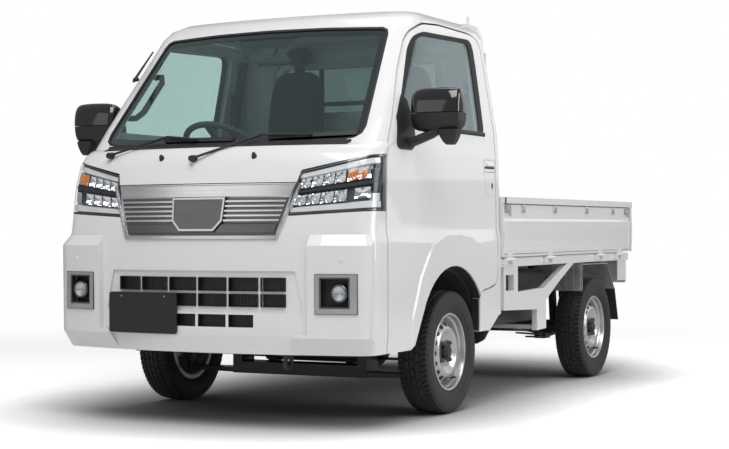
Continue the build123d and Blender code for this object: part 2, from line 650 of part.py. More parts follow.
# disc section, columns: distance outboard of the wheel's centre, radius
DISC_OUTER = ((33, 34), (33, 78), (46, 92), (49, 122), (40, 136), (24, RIM_RADIUS - 14))
DISC_SHEET = 5.0


def ring(points, x):
    """Revolve a closed (offset, radius) outline about a wheel's axis."""
    with BuildSketch(Plane.XY) as drawing:
        with BuildLine():
            Polyline(*points, close=True)
        make_face()
    return Pos(x, 0, WHEEL_Z) * revolve(drawing.sketch, Axis.X)


def tyre(x):
    half = [(w, r) for r, w in TYRE_SECTION]
    return ring(half + [(-w, r) for w, r in reversed(half)], x)


def rim(x, outboard_hub):
    lip = RIM_WIDTH / 2
    barrel = [(-lip, RIM_RADIUS + 11), (-lip, RIM_RADIUS - 8), (-lip + 22, RIM_RADIUS - 14), (lip - 22, RIM_RADIUS - 14),
              (lip, RIM_RADIUS - 8), (lip, RIM_RADIUS + 11), (lip - 5, RIM_RADIUS + 11), (lip - 9, RIM_RADIUS),
              (-lip + 9, RIM_RADIUS), (-lip + 5, RIM_RADIUS + 11)]
    disc = list(DISC_OUTER) + [(o - DISC_SHEET, r) for o, r in reversed(DISC_OUTER)]
    wheel = ring(barrel, x) + ring(disc, x)
    vents = []
    for i in range(VENTS):
        a = math.radians(360 * i / VENTS)
        y, z = VENT_CIRCLE * math.cos(a), WHEEL_Z + VENT_CIRCLE * math.sin(a)
        vents.append(cross_rod(x + 10, x + 80, y, z, VENT_RADIUS))
    wheel = wheel - merge(vents)
    hub = cross_rod(outboard_hub, x + 52, 0, WHEEL_Z, 35)
    return wheel + hub


def build_wheels():
    front = FRONT_TRACK / 2
    rear = REAR_TRACK / 2
    brake = cross_rod(HUB_INNER_X, HUB_INNER_X + 10, 0, WHEEL_Z, 106)
    front_rim = rim(front, HUB_INNER_X) + brake
    rear_rim = rim(rear, rear - 34)
    for name, side in SIDES:
        for where, axle, wheel, x in (("front", AXLE_F, front_rim, front), ("rear", AXLE_R, rear_rim, rear)):
            save(f"rim_{where}_{name}", Pos(0, axle, 0) * on_side(wheel, side))
            save(f"tyre_{where}_{name}", Pos(0, axle, 0) * on_side(tyre(x), side))


# ---------------------------------------------------------------- chassis
REAR_RAIL_Z = 440.0
RAIL_KICK = (CAB_REAR + 90.0, CAB_REAR + 420.0)
RAIL_END = REAR - 60.0
FLOOR_RIB = 26.0
FLOOR_PLATE = 15.0
SUBFRAME_Z = BED_FLOOR_Z - FLOOR_PLATE - FLOOR_RIB
CROSS_MEMBERS = ((FRONT + 150, FRONT_RAIL_Z), (CAB_REAR + 520, REAR_RAIL_Z),
                 (AXLE_R + 250, REAR_RAIL_Z), (RAIL_END - 40, REAR_RAIL_Z))


def build_frame():
    rail = [(FRONT + 110, FRONT_RAIL_Z), (RAIL_KICK[0], FRONT_RAIL_Z), (RAIL_KICK[1], REAR_RAIL_Z),
            (RAIL_END, REAR_RAIL_Z), (RAIL_END, REAR_RAIL_Z + RAIL_HEIGHT),
            (RAIL_KICK[1], REAR_RAIL_Z + RAIL_HEIGHT), (RAIL_KICK[0], FRONT_RAIL_Z + RAIL_HEIGHT),
            (FRONT + 110, FRONT_RAIL_Z + RAIL_HEIGHT)]
    frame = both(side_prism(rail, RAIL_X - RAIL_WIDTH / 2, RAIL_X + RAIL_WIDTH / 2))
    reach = RAIL_X - RAIL_WIDTH / 2 - SEAT_FIT
    save("cross_members", merge(block(-reach, reach, y - 25, y + 25, z + 10, z + 60) for y, z in CROSS_MEMBERS))
    floor_low = FOOTWELL_Z - SHEET - SEAT_FIT
    rail_top = RAIL_TOP_F
    for y in (FRONT + 200, RISER_FRONT - 60):
        frame = frame + both(block(RAIL_X - 20, RAIL_X + 20, y - 30, y + 30, rail_top - 5, floor_low))
    frame = frame + both(block(RAIL_X - 20, BAY_X - SEAT_FIT, RISER_FRONT + 60, RISER_FRONT + 110,
                               rail_top - 30, rail_top))
    for y in BED_POSTS:
        low = FRONT_RAIL_Z + 20 if y < RAIL_KICK[1] else REAR_RAIL_Z + 30
        frame = frame + both(block(RAIL_X - 20, RAIL_X + 20, y - 25, y + 25, low + 40, SUBFRAME_Z))
    frame = frame + tow_eye(FRONT + 150, FRONT_RAIL_Z) + tow_eye(RAIL_END - 30, REAR_RAIL_Z)
    save("chassis_frame", frame)


TOW_BORE = 16.0
TOW_PLATE = 12.0
TOW_DROP = 26.0


def tow_eye(y, rail_low):
    """A drilled plate welded under the left rail."""
    x = RAIL_X
    eye = block(x - TOW_PLATE / 2, x + TOW_PLATE / 2, y - 32, y + 32, rail_low - TOW_DROP, rail_low + 10)
    eye = eye + cross_rod(x - TOW_PLATE / 2, x + TOW_PLATE / 2, y, rail_low - TOW_DROP, 32)
    return eye - cross_rod(x - TOW_PLATE, x + TOW_PLATE, y, rail_low - TOW_DROP, TOW_BORE)


BED_POSTS = (CAB_REAR + 470, AXLE_R - 330, AXLE_R + 60, RAIL_END - 80)


# differential case section, columns: distance along the axle, radius
AXLE_CASE = ((-98, 28), (-88, 56), (-64, 92), (-30, 110), (30, 110), (64, 92), (88, 56), (98, 28))


def build_rear_axle():
    spring_x = RAIL_X + 75
    spring_z = WHEEL_Z - 36
    housing = cross_rod(-REAR_TRACK / 2 + 40, REAR_TRACK / 2 - 40, AXLE_R, WHEEL_Z, 34)
    drum = both(cross_rod(REAR_TRACK / 2 - 95, REAR_TRACK / 2 - 34 - TURN_FIT, AXLE_R, WHEEL_Z, 104))
    case = Pos(0, AXLE_R, 0) * ring(AXLE_CASE, 0)
    leaves = []
    for half_run, low in ((470, 0), (330, -9), (190, -18)):
        points = [(AXLE_R - half_run, spring_z + low + 60 * (half_run / 470) ** 2),
                  (AXLE_R, spring_z + low), (AXLE_R + half_run, spring_z + low + 60 * (half_run / 470) ** 2),
                  (AXLE_R + half_run, spring_z + low - 8.5 + 60 * (half_run / 470) ** 2),
                  (AXLE_R, spring_z + low - 8.5), (AXLE_R - half_run, spring_z + low - 8.5 + 60 * (half_run / 470) ** 2)]
        leaves.append(side_prism(points, spring_x - 25, spring_x + 25))
    saddle = block(spring_x - 30, spring_x + 30, AXLE_R - 40, AXLE_R + 40, spring_z - 30, WHEEL_Z + 10)
    eyes = []
    for y in (AXLE_R - 470, AXLE_R + 470):
        z = spring_z + 56
        eyes.append(cross_rod(spring_x - 28, spring_x + 28, y, z, 20))
        eyes.append(cross_rod(RAIL_X - 10, spring_x, y, z, 10))
        eyes.append(block(RAIL_X + 8, RAIL_X + 20, y - 18, y + 18, z - 20, REAR_RAIL_Z))
    shock = rod((spring_x + 45, AXLE_R + 60, spring_z + 10), (RAIL_X + 60, AXLE_R + 190, REAR_RAIL_Z + 60), 22)
    shock = shock + block(RAIL_X + RAIL_WIDTH / 2, RAIL_X + 64, AXLE_R + 165, AXLE_R + 205, REAR_RAIL_Z + 25,
                          REAR_RAIL_Z + 60)
    shock = shock + block(spring_x + 20, spring_x + 52, AXLE_R + 20, AXLE_R + 80, spring_z - 6, spring_z + 16)
    axle = housing + drum + case + both(merge(leaves) + saddle + merge(eyes) + shock)
    save("rear_axle", axle)


ENGINE_X = 190.0
ENGINE_Y = (AXLE_F + 130.0, CAB_REAR - 120.0)
ENGINE_Z = (FRONT_RAIL_Z - 40.0, RISER_Z - 60.0)


def build_driveline():
    engine = block(-ENGINE_X, ENGINE_X, *ENGINE_Y, *ENGINE_Z)
    mounts = both(block(ENGINE_X, RAIL_X - RAIL_WIDTH / 2, ENGINE_Y[0] + 60, ENGINE_Y[0] + 120,
                        FRONT_RAIL_Z + 20, FRONT_RAIL_Z + 60))
    save("engine_block", engine + mounts)
    box_end = ENGINE_Y[1] + 330
    gearbox = block(-110, 110, ENGINE_Y[1] + SEAT_FIT, box_end, ENGINE_Z[0] + 20, ENGINE_Z[0] + 210)
    gearbox = fillet(gearbox.edges().filter_by(Axis.Y), 30)
    shaft = rod((0, box_end - 10, ENGINE_Z[0] + 110), (0, AXLE_R - 110 - SEAT_FIT, WHEEL_Z + 6), 27)
    stays = both(block(100, RAIL_X - RAIL_WIDTH / 2, box_end - 90, box_end - 50, FRONT_RAIL_Z + 20, FRONT_RAIL_Z + 50))
    save("gearbox_and_propshaft", gearbox + shaft + stays)


TANK_X = (RAIL_X + RAIL_WIDTH / 2 + SEAT_FIT, 610.0)
TANK_Y = (CAB_REAR + 115.0, CAB_REAR + 855.0)
TANK_Z = (330.0, 585.0)


MUFFLER_X = 480.0
MUFFLER_Z = 325.0
MUFFLER_RADIUS = 76.0
PIPE_RADIUS = 20.0


def build_tank_and_exhaust():
    tank = block(*TANK_X, *TANK_Y, *TANK_Z)
    tank = fillet(tank.edges().filter_by(Axis.Y), 28)
    straps = []
    for y in (TANK_Y[0] + 90, TANK_Y[1] - 90):
        straps.append(block(TANK_X[0] + 40, TANK_X[0] + 80, y - 15, y + 15, TANK_Z[1] - 2, SUBFRAME_Z))
    save("fuel_tank", tank + merge(straps))
    y0, y1 = CAB_REAR + 118.0, CAB_REAR + 520.0
    x, z, low = -MUFFLER_X, MUFFLER_Z, FRONT_RAIL_Z - PIPE_RADIUS - 5
    muffler = rod((x, y0, z), (x, y1, z), MUFFLER_RADIUS)
    front_pipe = rod((-ENGINE_X - 20, ENGINE_Y[1] - 60, low), (x, y0 + 10, low), PIPE_RADIUS)
    stub = block(-ENGINE_X - 24, -ENGINE_X - SEAT_FIT, ENGINE_Y[1] - 90, ENGINE_Y[1] - 30, low - 18, low + 18)
    tail = rod((x, y1 - 10, low), (x - 30, AXLE_R - 300, low), PIPE_RADIUS)
    hanger = block(x - 20, x + 20, y0 + 180, y0 + 220, z + MUFFLER_RADIUS - 14, SUBFRAME_Z)
    save("exhaust", muffler + front_pipe + stub + tail + hanger)


# ---------------------------------------------------------------- bed
BED_FRONT = CAB_REAR + 12.0
BED_WALL = 22.0
GATE_OUT = HALF - 5.0
GATE_IN = GATE_OUT - GATE_THICKNESS
GATE_LOW = BED_FLOOR_Z + 5.0
GATE_TOP = GATE_LOW + GATE_HEIGHT
HINGE_RADIUS = 6.5
HINGE_X = HALF - HINGE_RADIUS
HINGE_Z = BED_FLOOR_Z - 7.0
HINGE_Y = REAR - HINGE_RADIUS
SILL_OUT = HINGE_X - 16.0
SILL_LOW = BED_FLOOR_Z - 42.0
TAIL_IN = REAR - 22.0
SIDE_GATE_Y = (BED_FRONT + 4.0, TAIL_IN - MOVING_GAP)
HINGE_LENGTH = 118.0
SIDE_HINGES = (SIDE_GATE_Y[0] + 66, SIDE_GATE_Y[0] + 600, SIDE_GATE_Y[0] + 1370, SIDE_GATE_Y[1] - 190)
TAIL_HINGES = (-520, 0, 520)
HOOK_FRACTIONS = (0.13, 0.36, 0.61, 0.84)


def gate_section(face, inner):
    """Gate profile, (distance outboard, height): a folded top rail over a pressed panel."""
    out = face - inner
    return [(inner, GATE_LOW), (face - out * 0.32, GATE_LOW), (face - out * 0.32, GATE_LOW + 30),
            (face - 3, GATE_LOW + 46), (face - 3, GATE_LOW + 166), (face - out * 0.36, GATE_LOW + 178),
            (face - out * 0.36, GATE_TOP - 32), (face, GATE_TOP - 30), (face, GATE_TOP), (inner, GATE_TOP)]


def build_gates():
    profile = outline_face(gate_section(GATE_OUT, GATE_IN), Plane(origin=(0, SIDE_GATE_Y[0], 0), x_dir=(1, 0, 0),
                                                                  z_dir=(0, -1, 0)))
    gate = extrude(profile, SIDE_GATE_Y[0] - SIDE_GATE_Y[1])
    knuckles = []
    for y in SIDE_HINGES:
        low = y - HINGE_LENGTH / 4
        high = y + HINGE_LENGTH / 4
        knuckles.append(rod((HINGE_X, low, HINGE_Z), (HINGE_X, high, HINGE_Z), HINGE_RADIUS))
        knuckles.append(block(HINGE_X - 5, HINGE_X + 2, low, high, HINGE_Z, GATE_LOW + 26))
        knuckles.append(block(HINGE_X - 12, HINGE_X - 4, low, high, GATE_LOW + 4, GATE_LOW + 26))
    gate = gate + merge(knuckles)
    hooks = []
    for share in HOOK_FRACTIONS:
        y = SIDE_GATE_Y[0] + share * (SIDE_GATE_Y[1] - SIDE_GATE_Y[0])
        hooks.append(block(GATE_OUT - 12, GATE_OUT - 3, y - 16, y + 16, GATE_TOP - 62, GATE_TOP - 34))
    gate = gate + merge(hooks)
    for name, side in SIDES:
        save(f"gate_{name}", on_side(gate, side))

    tail = side_prism(gate_section(REAR - 1, TAIL_IN), -GATE_OUT, GATE_OUT)
    knuckles = []
    for x in TAIL_HINGES:
        knuckles.append(cross_rod(x - HINGE_LENGTH / 4, x + HINGE_LENGTH / 4, HINGE_Y, HINGE_Z, HINGE_RADIUS))
        knuckles.append(block(x - HINGE_LENGTH / 4, x + HINGE_LENGTH / 4, HINGE_Y - 5, HINGE_Y + 2, HINGE_Z,
                              GATE_LOW + 26))
    save("tailgate", tail + merge(knuckles))


REAR_SILL_Y = HINGE_Y - 16.0
FIELD_RISE = 3.0


def build_bed():
    deck = block(-SILL_OUT, SILL_OUT, BED_FRONT, REAR_SILL_Y, BED_FLOOR_Z - FLOOR_PLATE, BED_FLOOR_Z - FIELD_RISE)
    field_x = GATE_IN - 2 * MOVING_GAP
    field = block(-field_x, field_x, BED_FRONT + GUARD_TUBE + MOVING_GAP, TAIL_IN - 2 * MOVING_GAP,
                  BED_FLOOR_Z - FLOOR_PLATE, BED_FLOOR_Z)
    save("bed_floor", deck + field)
    top = BED_FLOOR_Z - FLOOR_PLATE
    sills = both(block(SILL_OUT - 24, SILL_OUT, BED_FRONT, REAR_SILL_Y, SILL_LOW, top))
    rear = block(-SILL_OUT, SILL_OUT, REAR_SILL_Y - 24, REAR_SILL_Y, SILL_LOW, top)
    fore = block(-SILL_OUT, SILL_OUT, BED_FRONT, BED_FRONT + 30, SILL_LOW, top)
    beds = sills + rear + fore
    for i in range(BED_RIBS):
        y = BED_FRONT + (i + 1) * (REAR_SILL_Y - BED_FRONT) / (BED_RIBS + 1)
        beds = beds + block(-SILL_OUT + 4, SILL_OUT - 4, y - 20, y + 20, SUBFRAME_Z, top)
    beds = beds + both(block(RAIL_X - 20, RAIL_X + 20, BED_FRONT + 10, REAR_SILL_Y - 10, SUBFRAME_Z, top))
    for y in SIDE_HINGES:
        for end in (-1, 1):
            near = y + end * (HINGE_LENGTH / 4 + TURN_FIT)
            far = y + end * HINGE_LENGTH / 2
            beds = beds + both(rod((HINGE_X, near, HINGE_Z), (HINGE_X, far, HINGE_Z), HINGE_RADIUS))
            beds = beds + both(block(SILL_OUT - 4, HINGE_X, near, far, HINGE_Z - HINGE_RADIUS - 16, top))
            beds = beds + both(block(SILL_OUT + SEAT_FIT, HINGE_X, near, far, top - 1, HINGE_Z - 1))
    for x in TAIL_HINGES:
        for end in (-1, 1):
            near = x + end * (HINGE_LENGTH / 4 + TURN_FIT)
            far = x + end * HINGE_LENGTH / 2
            beds = beds + cross_rod(min(near, far), max(near, far), HINGE_Y, HINGE_Z, HINGE_RADIUS)
            beds = beds + block(near, far, REAR_SILL_Y - 4, HINGE_Y, HINGE_Z - HINGE_RADIUS - 16, top)
            beds = beds + block(near, far, REAR_SILL_Y + SEAT_FIT, HINGE_Y, top - 1, HINGE_Z - 1)
    save("bed_frame", beds)


BED_RIBS = 7
GUARD_X = 615.0
GUARD_TUBE = 30.0
GUARD_TOP = HEIGHT - 34.0


def build_guard_frame():
    y0, y1 = BED_FRONT, BED_FRONT + GUARD_TUBE
    foot = BED_FLOOR_Z - FIELD_RISE + SEAT_FIT
    wall = block(-GATE_IN + MOVING_GAP, GATE_IN - MOVING_GAP, y0, y0 + BED_WALL, foot, GATE_TOP + 40)
    posts = both(block(GUARD_X - GUARD_TUBE, GUARD_X, y0, y1, foot, GUARD_TOP - 70))
    corner = [(GUARD_X, GUARD_TOP - 70), (GUARD_X - 20, GUARD_TOP - 18), (GUARD_X - 70, GUARD_TOP),
              (GUARD_X - 70, GUARD_TOP - GUARD_TUBE), (GUARD_X - GUARD_TUBE - 8, GUARD_TOP - 42),
              (GUARD_X - GUARD_TUBE, GUARD_TOP - 70)]
    corners = both(front_prism(corner, y1, y0))
    top = block(-GUARD_X + 70, GUARD_X - 70, y0, y1, GUARD_TOP - GUARD_TUBE, GUARD_TOP)
    bars = []
    for z in GUARD_BARS:
        bars.append(block(-GUARD_X, GUARD_X, y0 + 5, y1 - 5, z - 10, z + 10))
    hooks = [block(GUARD_X - 72, GUARD_X - 64, y0 + 4, y1 - 4, GUARD_TOP - 8, HEIGHT)]
    for z in (1560, 1250):
        hooks.append(block(GUARD_X - 2, GUARD_X + 22, y0 + 8, y0 + 20, z, z + 10))
        hooks.append(block(GUARD_X + 14, GUARD_X + 22, y0 + 8, y0 + 20, z, z + 46))
    save("guard_frame", wall + posts + corners + top + merge(bars) + both(merge(hooks)))


GUARD_BARS = (1180, 1400, 1600)
BRACE_X = (686.0, 714.0)


def build_braces():
    """Painted plate behind each cab corner, the leg and the strut that carry the bed's side."""
    top = SILL_LOW - SEAT_FIT
    y0 = CAB_REAR + 46
    plate = [(y0, 453), (y0 + 176, 453), (y0 + 176, top), (y0, top)]
    window = [(y0 + 24, 502), (y0 + 125, 502), (y0 + 125, 575), (y0 + 24, 575)]
    beam = [(y0, 470), (y0, 412), (y0 + 430, 398), (y0 + 430, 296), (y0 + 552, 300), (y0 + 552, 440),
            (y0 + 740, 525), (y0 + 960, top), (y0 + 860, top), (y0 + 690, 556), (y0 + 520, 500), (y0 + 176, 492)]
    brace = side_prism(plate, *BRACE_X) + side_prism(beam, *BRACE_X) - side_prism(window, BRACE_X[0] - 1, FAR)
    rail_side = RAIL_X + RAIL_WIDTH / 2
    fore = [(rail_side, 302), (rail_side, 332), (BRACE_X[0] + 2, 466), (BRACE_X[0] + 2, 436)]
    fore_arm = front_prism(fore, y0 + 60, y0 + 20)
    leg_y = y0 + 508
    rear_arm = block(RAIL_X - 15, BRACE_X[0] + 2, leg_y - 20, leg_y + 20, 298, 318)
    rear_arm = rear_arm + block(RAIL_X - 15, RAIL_X + 15, leg_y - 20, leg_y + 20, 298, REAR_RAIL_Z)
    save("side_braces", both(brace + fore_arm + rear_arm))


WELL_X = (548.0, REAR_TRACK / 2 + TYRE_WIDTH / 2 - 2.0)
WELL_FRONT = AXLE_R - 217.0
WELL_REAR = AXLE_R + 312.0
WELL_LOW = 463.0
FLAP_LOW = 285.0
FLAP_SLANT = 60.0
FLAP_SHEET = 5.0


def build_rear_fenders():
    """Bare metal fender, one wall ahead of each rear wheel and a roof over it, with a slanting flap."""
    top = SILL_LOW - SEAT_FIT
    front = block(*WELL_X, WELL_FRONT, WELL_FRONT + 4, WELL_LOW, top)
    arch = [(WELL_FRONT, top - 8), (AXLE_R - 80, top - 8), (AXLE_R + 60, top - 8), (AXLE_R + 188, top - 10),
            (WELL_REAR, WELL_LOW)]
    under = [(y, z - 5) for y, z in reversed(arch)]
    roof = side_prism(arch + under, *WELL_X)
    hang = block(*WELL_X, AXLE_R + 100, AXLE_R + 106, top - 12, top)
    save("rear_fenders", both(front + roof + hang))
    y0 = WELL_REAR + SEAT_FIT
    flap = [(y0, WELL_LOW), (y0 + FLAP_SHEET, WELL_LOW), (y0 + FLAP_SHEET + FLAP_SLANT, FLAP_LOW),
            (y0 + FLAP_SLANT, FLAP_LOW)]
    save("mud_flaps", both(side_prism(flap, WELL_X[0] + 22, WELL_X[1])))


REAR_PANEL_Y = REAR - 44.0


def build_rear_panel():
    panel = block(-SILL_OUT + 6, SILL_OUT - 6, REAR_PANEL_Y - 16, REAR_PANEL_Y, 485, SILL_LOW - SEAT_FIT)
    stays = both(block(RAIL_X - 20, RAIL_X + 20, RAIL_END, REAR_PANEL_Y - 14, REAR_RAIL_Z + 50, REAR_RAIL_Z + 74))
    sides = both(block(SILL_OUT - 10, SILL_OUT - 6, REAR_PANEL_Y - 150, REAR_PANEL_Y, 500, SILL_LOW - SEAT_FIT))
    save("rear_panel", panel + stays + sides)
    lamp = block(520, 690, REAR_PANEL_Y + SEAT_FIT, REAR_PANEL_Y + 28, 500, 590)
    lamp = fillet(lamp.edges().filter_by(Axis.Y), 8)
    save("tail_lamps", both(lamp))
    rear_y = REAR_PANEL_Y + SEAT_FIT
    rear = plate(REAR_PLATE_X, REAR_PLATE_Z, rear_y, rear_y + PLATE_SHEET)
    front = plate(FRONT_PLATE_X, FRONT_PLATE_Z, FRONT, FRONT + PLATE_SHEET)
    carrier = block(FRONT_PLATE_X - 130, FRONT_PLATE_X + 130, FRONT + 1, FRONT + 60,
                    FRONT_PLATE_Z - 60, FRONT_PLATE_Z + 40) - cab(-SEAT_FIT)
    save("number_plates", rear + front + carrier)


PLATE_SIZE = (330.0, 165.0)
PLATE_SHEET = 5.0
PLATE_HOLES = 210.0
PLATE_HOLE_RADIUS = 3.5
PLATE_HOLE_DROP = 16.0
FRONT_PLATE_X = -255.0
FRONT_PLATE_Z = 456.0
REAR_PLATE_X = 0.0
REAR_PLATE_Z = 526.0


def plate(x, z, y0, y1):
    """A blank number plate with its two fixing holes."""
    wide, tall = PLATE_SIZE
    sheet = block(x - wide / 2, x + wide / 2, y0, y1, z - tall / 2, z + tall / 2)
    sheet = fillet(sheet.edges().filter_by(Axis.Y), 12)
    for side in (-1, 1):
        hole = (x + side * PLATE_HOLES / 2, z + tall / 2 - PLATE_HOLE_DROP)
        sheet = sheet - rod((hole[0], y0 - 1, hole[1]), (hole[0], y1 + 1, hole[1]), PLATE_HOLE_RADIUS)
    return sheet


# ---------------------------------------------------------------- cabin
DASH_REAR = FRONT + 357.0
SEAT_WIDTH = 470.0
BACK_WIDTH = 350.0
HEADREST_WIDTH = 170.0


def build_cabin():
    room = cab(CAB_WALL + BULKHEAD + SEAT_FIT)
    dash = room & block(-FLOOR_HALF, FLOOR_HALF, FRONT, DASH_REAR, 860, 1112)
    save("dashboard", dash)
    for name, x in (("driver", DRIVER_X), ("passenger", PASSENGER_X)):
        half = SEAT_WIDTH / 2
        y0, y1 = RISER_FRONT + 240, CAB_REAR - CAB_WALL - 40
        cushion = block(x - half, x + half, y0, y1 - 60, RISER_Z + SEAT_FIT, RISER_Z + 130)
        back = [(y1 - 190, RISER_Z + 132), (y1 - 60, RISER_Z + 132), (y1, 1545), (y1 - 70, 1560), (y1 - 118, 1500)]
        backrest = side_prism(back, x - BACK_WIDTH / 2, x + BACK_WIDTH / 2)
        rest = block(x - HEADREST_WIDTH / 2, x + HEADREST_WIDTH / 2, y1 - 78, y1 - 2, 1576, 1668)
        stem = block(x - 50, x - 38, y1 - 46, y1 - 34, 1540, 1580) + block(x + 38, x + 50, y1 - 46, y1 - 34, 1540, 1580)
        seat = cushion + block(x - 150, x + 150, y1 - 150, y1 - 70, RISER_Z + 100, RISER_Z + 160) + backrest + rest + stem
        save(f"seat_{name}", seat)


def main():
    build_cab()
    build_fog_lamps()
    build_wipers()
    build_floor()
    build_knuckles()
    build_rack()
    build_front_suspension()
    build_steering_wheel()
    build_column()
    build_wheels()
    build_frame()
    build_rear_axle()
    build_driveline()
    build_tank_and_exhaust()
    build_gates()
    build_bed()
    build_guard_frame()
    build_braces()
    build_rear_fenders()
    build_rear_panel()
    build_cabin()


main()
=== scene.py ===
import json
import math

import bmesh
import bpy
from mathutils import Matrix, Vector


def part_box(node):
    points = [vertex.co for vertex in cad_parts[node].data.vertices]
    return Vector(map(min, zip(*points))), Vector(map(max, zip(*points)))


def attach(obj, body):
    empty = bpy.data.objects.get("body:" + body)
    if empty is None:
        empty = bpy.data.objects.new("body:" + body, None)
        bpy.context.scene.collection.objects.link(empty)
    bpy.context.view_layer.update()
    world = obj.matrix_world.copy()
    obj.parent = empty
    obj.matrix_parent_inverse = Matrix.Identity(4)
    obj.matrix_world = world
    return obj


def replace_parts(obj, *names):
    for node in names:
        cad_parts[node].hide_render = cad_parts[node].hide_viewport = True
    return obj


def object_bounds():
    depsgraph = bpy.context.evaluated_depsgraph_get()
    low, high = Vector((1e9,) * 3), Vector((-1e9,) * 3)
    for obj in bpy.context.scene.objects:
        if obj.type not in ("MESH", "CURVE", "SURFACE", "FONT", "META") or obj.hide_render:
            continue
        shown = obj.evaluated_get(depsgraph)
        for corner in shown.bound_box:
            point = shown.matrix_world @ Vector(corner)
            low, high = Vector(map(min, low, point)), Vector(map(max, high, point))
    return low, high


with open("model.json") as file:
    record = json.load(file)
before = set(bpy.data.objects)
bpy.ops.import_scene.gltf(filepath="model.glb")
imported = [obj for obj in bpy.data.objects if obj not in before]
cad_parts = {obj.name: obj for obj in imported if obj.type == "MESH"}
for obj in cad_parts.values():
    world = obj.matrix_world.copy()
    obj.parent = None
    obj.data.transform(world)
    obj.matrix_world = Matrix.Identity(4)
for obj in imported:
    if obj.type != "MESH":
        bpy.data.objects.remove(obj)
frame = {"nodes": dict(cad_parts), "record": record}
cad_low, cad_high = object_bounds()

# Kei truck, dressed. Metres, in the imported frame: +Z up, the front faces -Y, the truck's left side is +X.
ROOT = "cab_and_chassis"
NODES = frame["nodes"]
FRONT = cad_low.y
REAR = cad_high.y
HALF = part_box("gate_left")[1].x
SIDES = (("left", 1), ("right", -1))


# ---------------- camera
PHOTO_WIDTH = 729
PHOTO_FOCAL = 1602.0
SENSOR = 36.0
CAMERA_AT = Vector((3.5055, -7.0882, 0.7916))
CAMERA_YAW = math.radians(27.0)
CAMERA_PITCH = math.radians(0.16)
CAMERA_ROLL = math.radians(-0.2)
CAMERA_REACH = 100


def place_object(name, data):
    made = bpy.data.objects.new(name, data)
    bpy.context.scene.collection.objects.link(made)
    return made


def build_camera():
    data = bpy.data.cameras.new("photo_camera")
    data.sensor_width = SENSOR
    data.lens = SENSOR * PHOTO_FOCAL / PHOTO_WIDTH
    data.clip_end = CAMERA_REACH
    ahead = Vector((-math.sin(CAMERA_YAW) * math.cos(CAMERA_PITCH),
                    math.cos(CAMERA_YAW) * math.cos(CAMERA_PITCH), math.sin(CAMERA_PITCH)))
    level = Vector((math.cos(CAMERA_YAW), math.sin(CAMERA_YAW), 0))
    up = level.cross(ahead)
    right = level * math.cos(CAMERA_ROLL) + up * math.sin(CAMERA_ROLL)
    up = up * math.cos(CAMERA_ROLL) - level * math.sin(CAMERA_ROLL)
    turn = Matrix((right, up, -ahead)).transposed().to_4x4()
    camera = place_object("photo_camera", data)
    camera.matrix_world = Matrix.Translation(CAMERA_AT) @ turn
    bpy.context.scene.camera = camera


# ---------------- materials
COAT_ROUGHNESS = 0.04
MOTTLE_EDGES = (0.35, 0.65)
ROUGHNESS_SPREAD = 0.12
BUMP_DEPTH = 0.001
DUST_TONE = (0.34, 0.32, 0.29, 1)
DUST_HEIGHTS = (0.62, 0.05)
GLASS_TINT_AT_GLANCE = (0.86, 0.95, 1.0, 1)
GLASS_STEEPNESS = 4.5
GLASS_MOST = 0.85


def add_node(tree, kind, numbered=None, **named):
    """Adds a shader node with settings and inputs by name, or inputs by number; a socket given as a value is linked."""
    node = tree.nodes.new("ShaderNode" + kind)
    inputs = dict(numbered or {})
    for key, value in named.items():
        socket = key.replace("_", " ")
        if socket in node.inputs:
            inputs[socket] = value
        else:
            setattr(node, key, value)
    for key, value in inputs.items():
        set_input(tree, node, key, value)
    return node


def set_input(tree, node, key, value):
    if isinstance(value, bpy.types.NodeSocket):
        tree.links.new(value, node.inputs[key])
    else:
        node.inputs[key].default_value = value


def maths(tree, operation, first, second):
    return add_node(tree, "Math", {0: first, 1: second}, operation=operation).outputs[0]


def blended(tree, share, first, second):
    return add_node(tree, "Mix", {0: share, 6: first, 7: second}, data_type="RGBA").outputs[2]


def object_place(tree):
    return add_node(tree, "TexCoord").outputs["Object"]


def ramped(tree, share, dark, pale, edges=(0.0, 1.0)):
    ramp = add_node(tree, "ValToRGB", Fac=share)
    for stop, edge, colour in zip(ramp.color_ramp.elements, edges, (dark, pale)):
        stop.position = edge
        stop.color = (*colour, 1)
    return ramp.outputs["Color"]


def new_material(name):
    made = bpy.data.materials.new(name)
    made.use_nodes = True
    return made, made.node_tree, made.node_tree.nodes["Principled BSDF"]


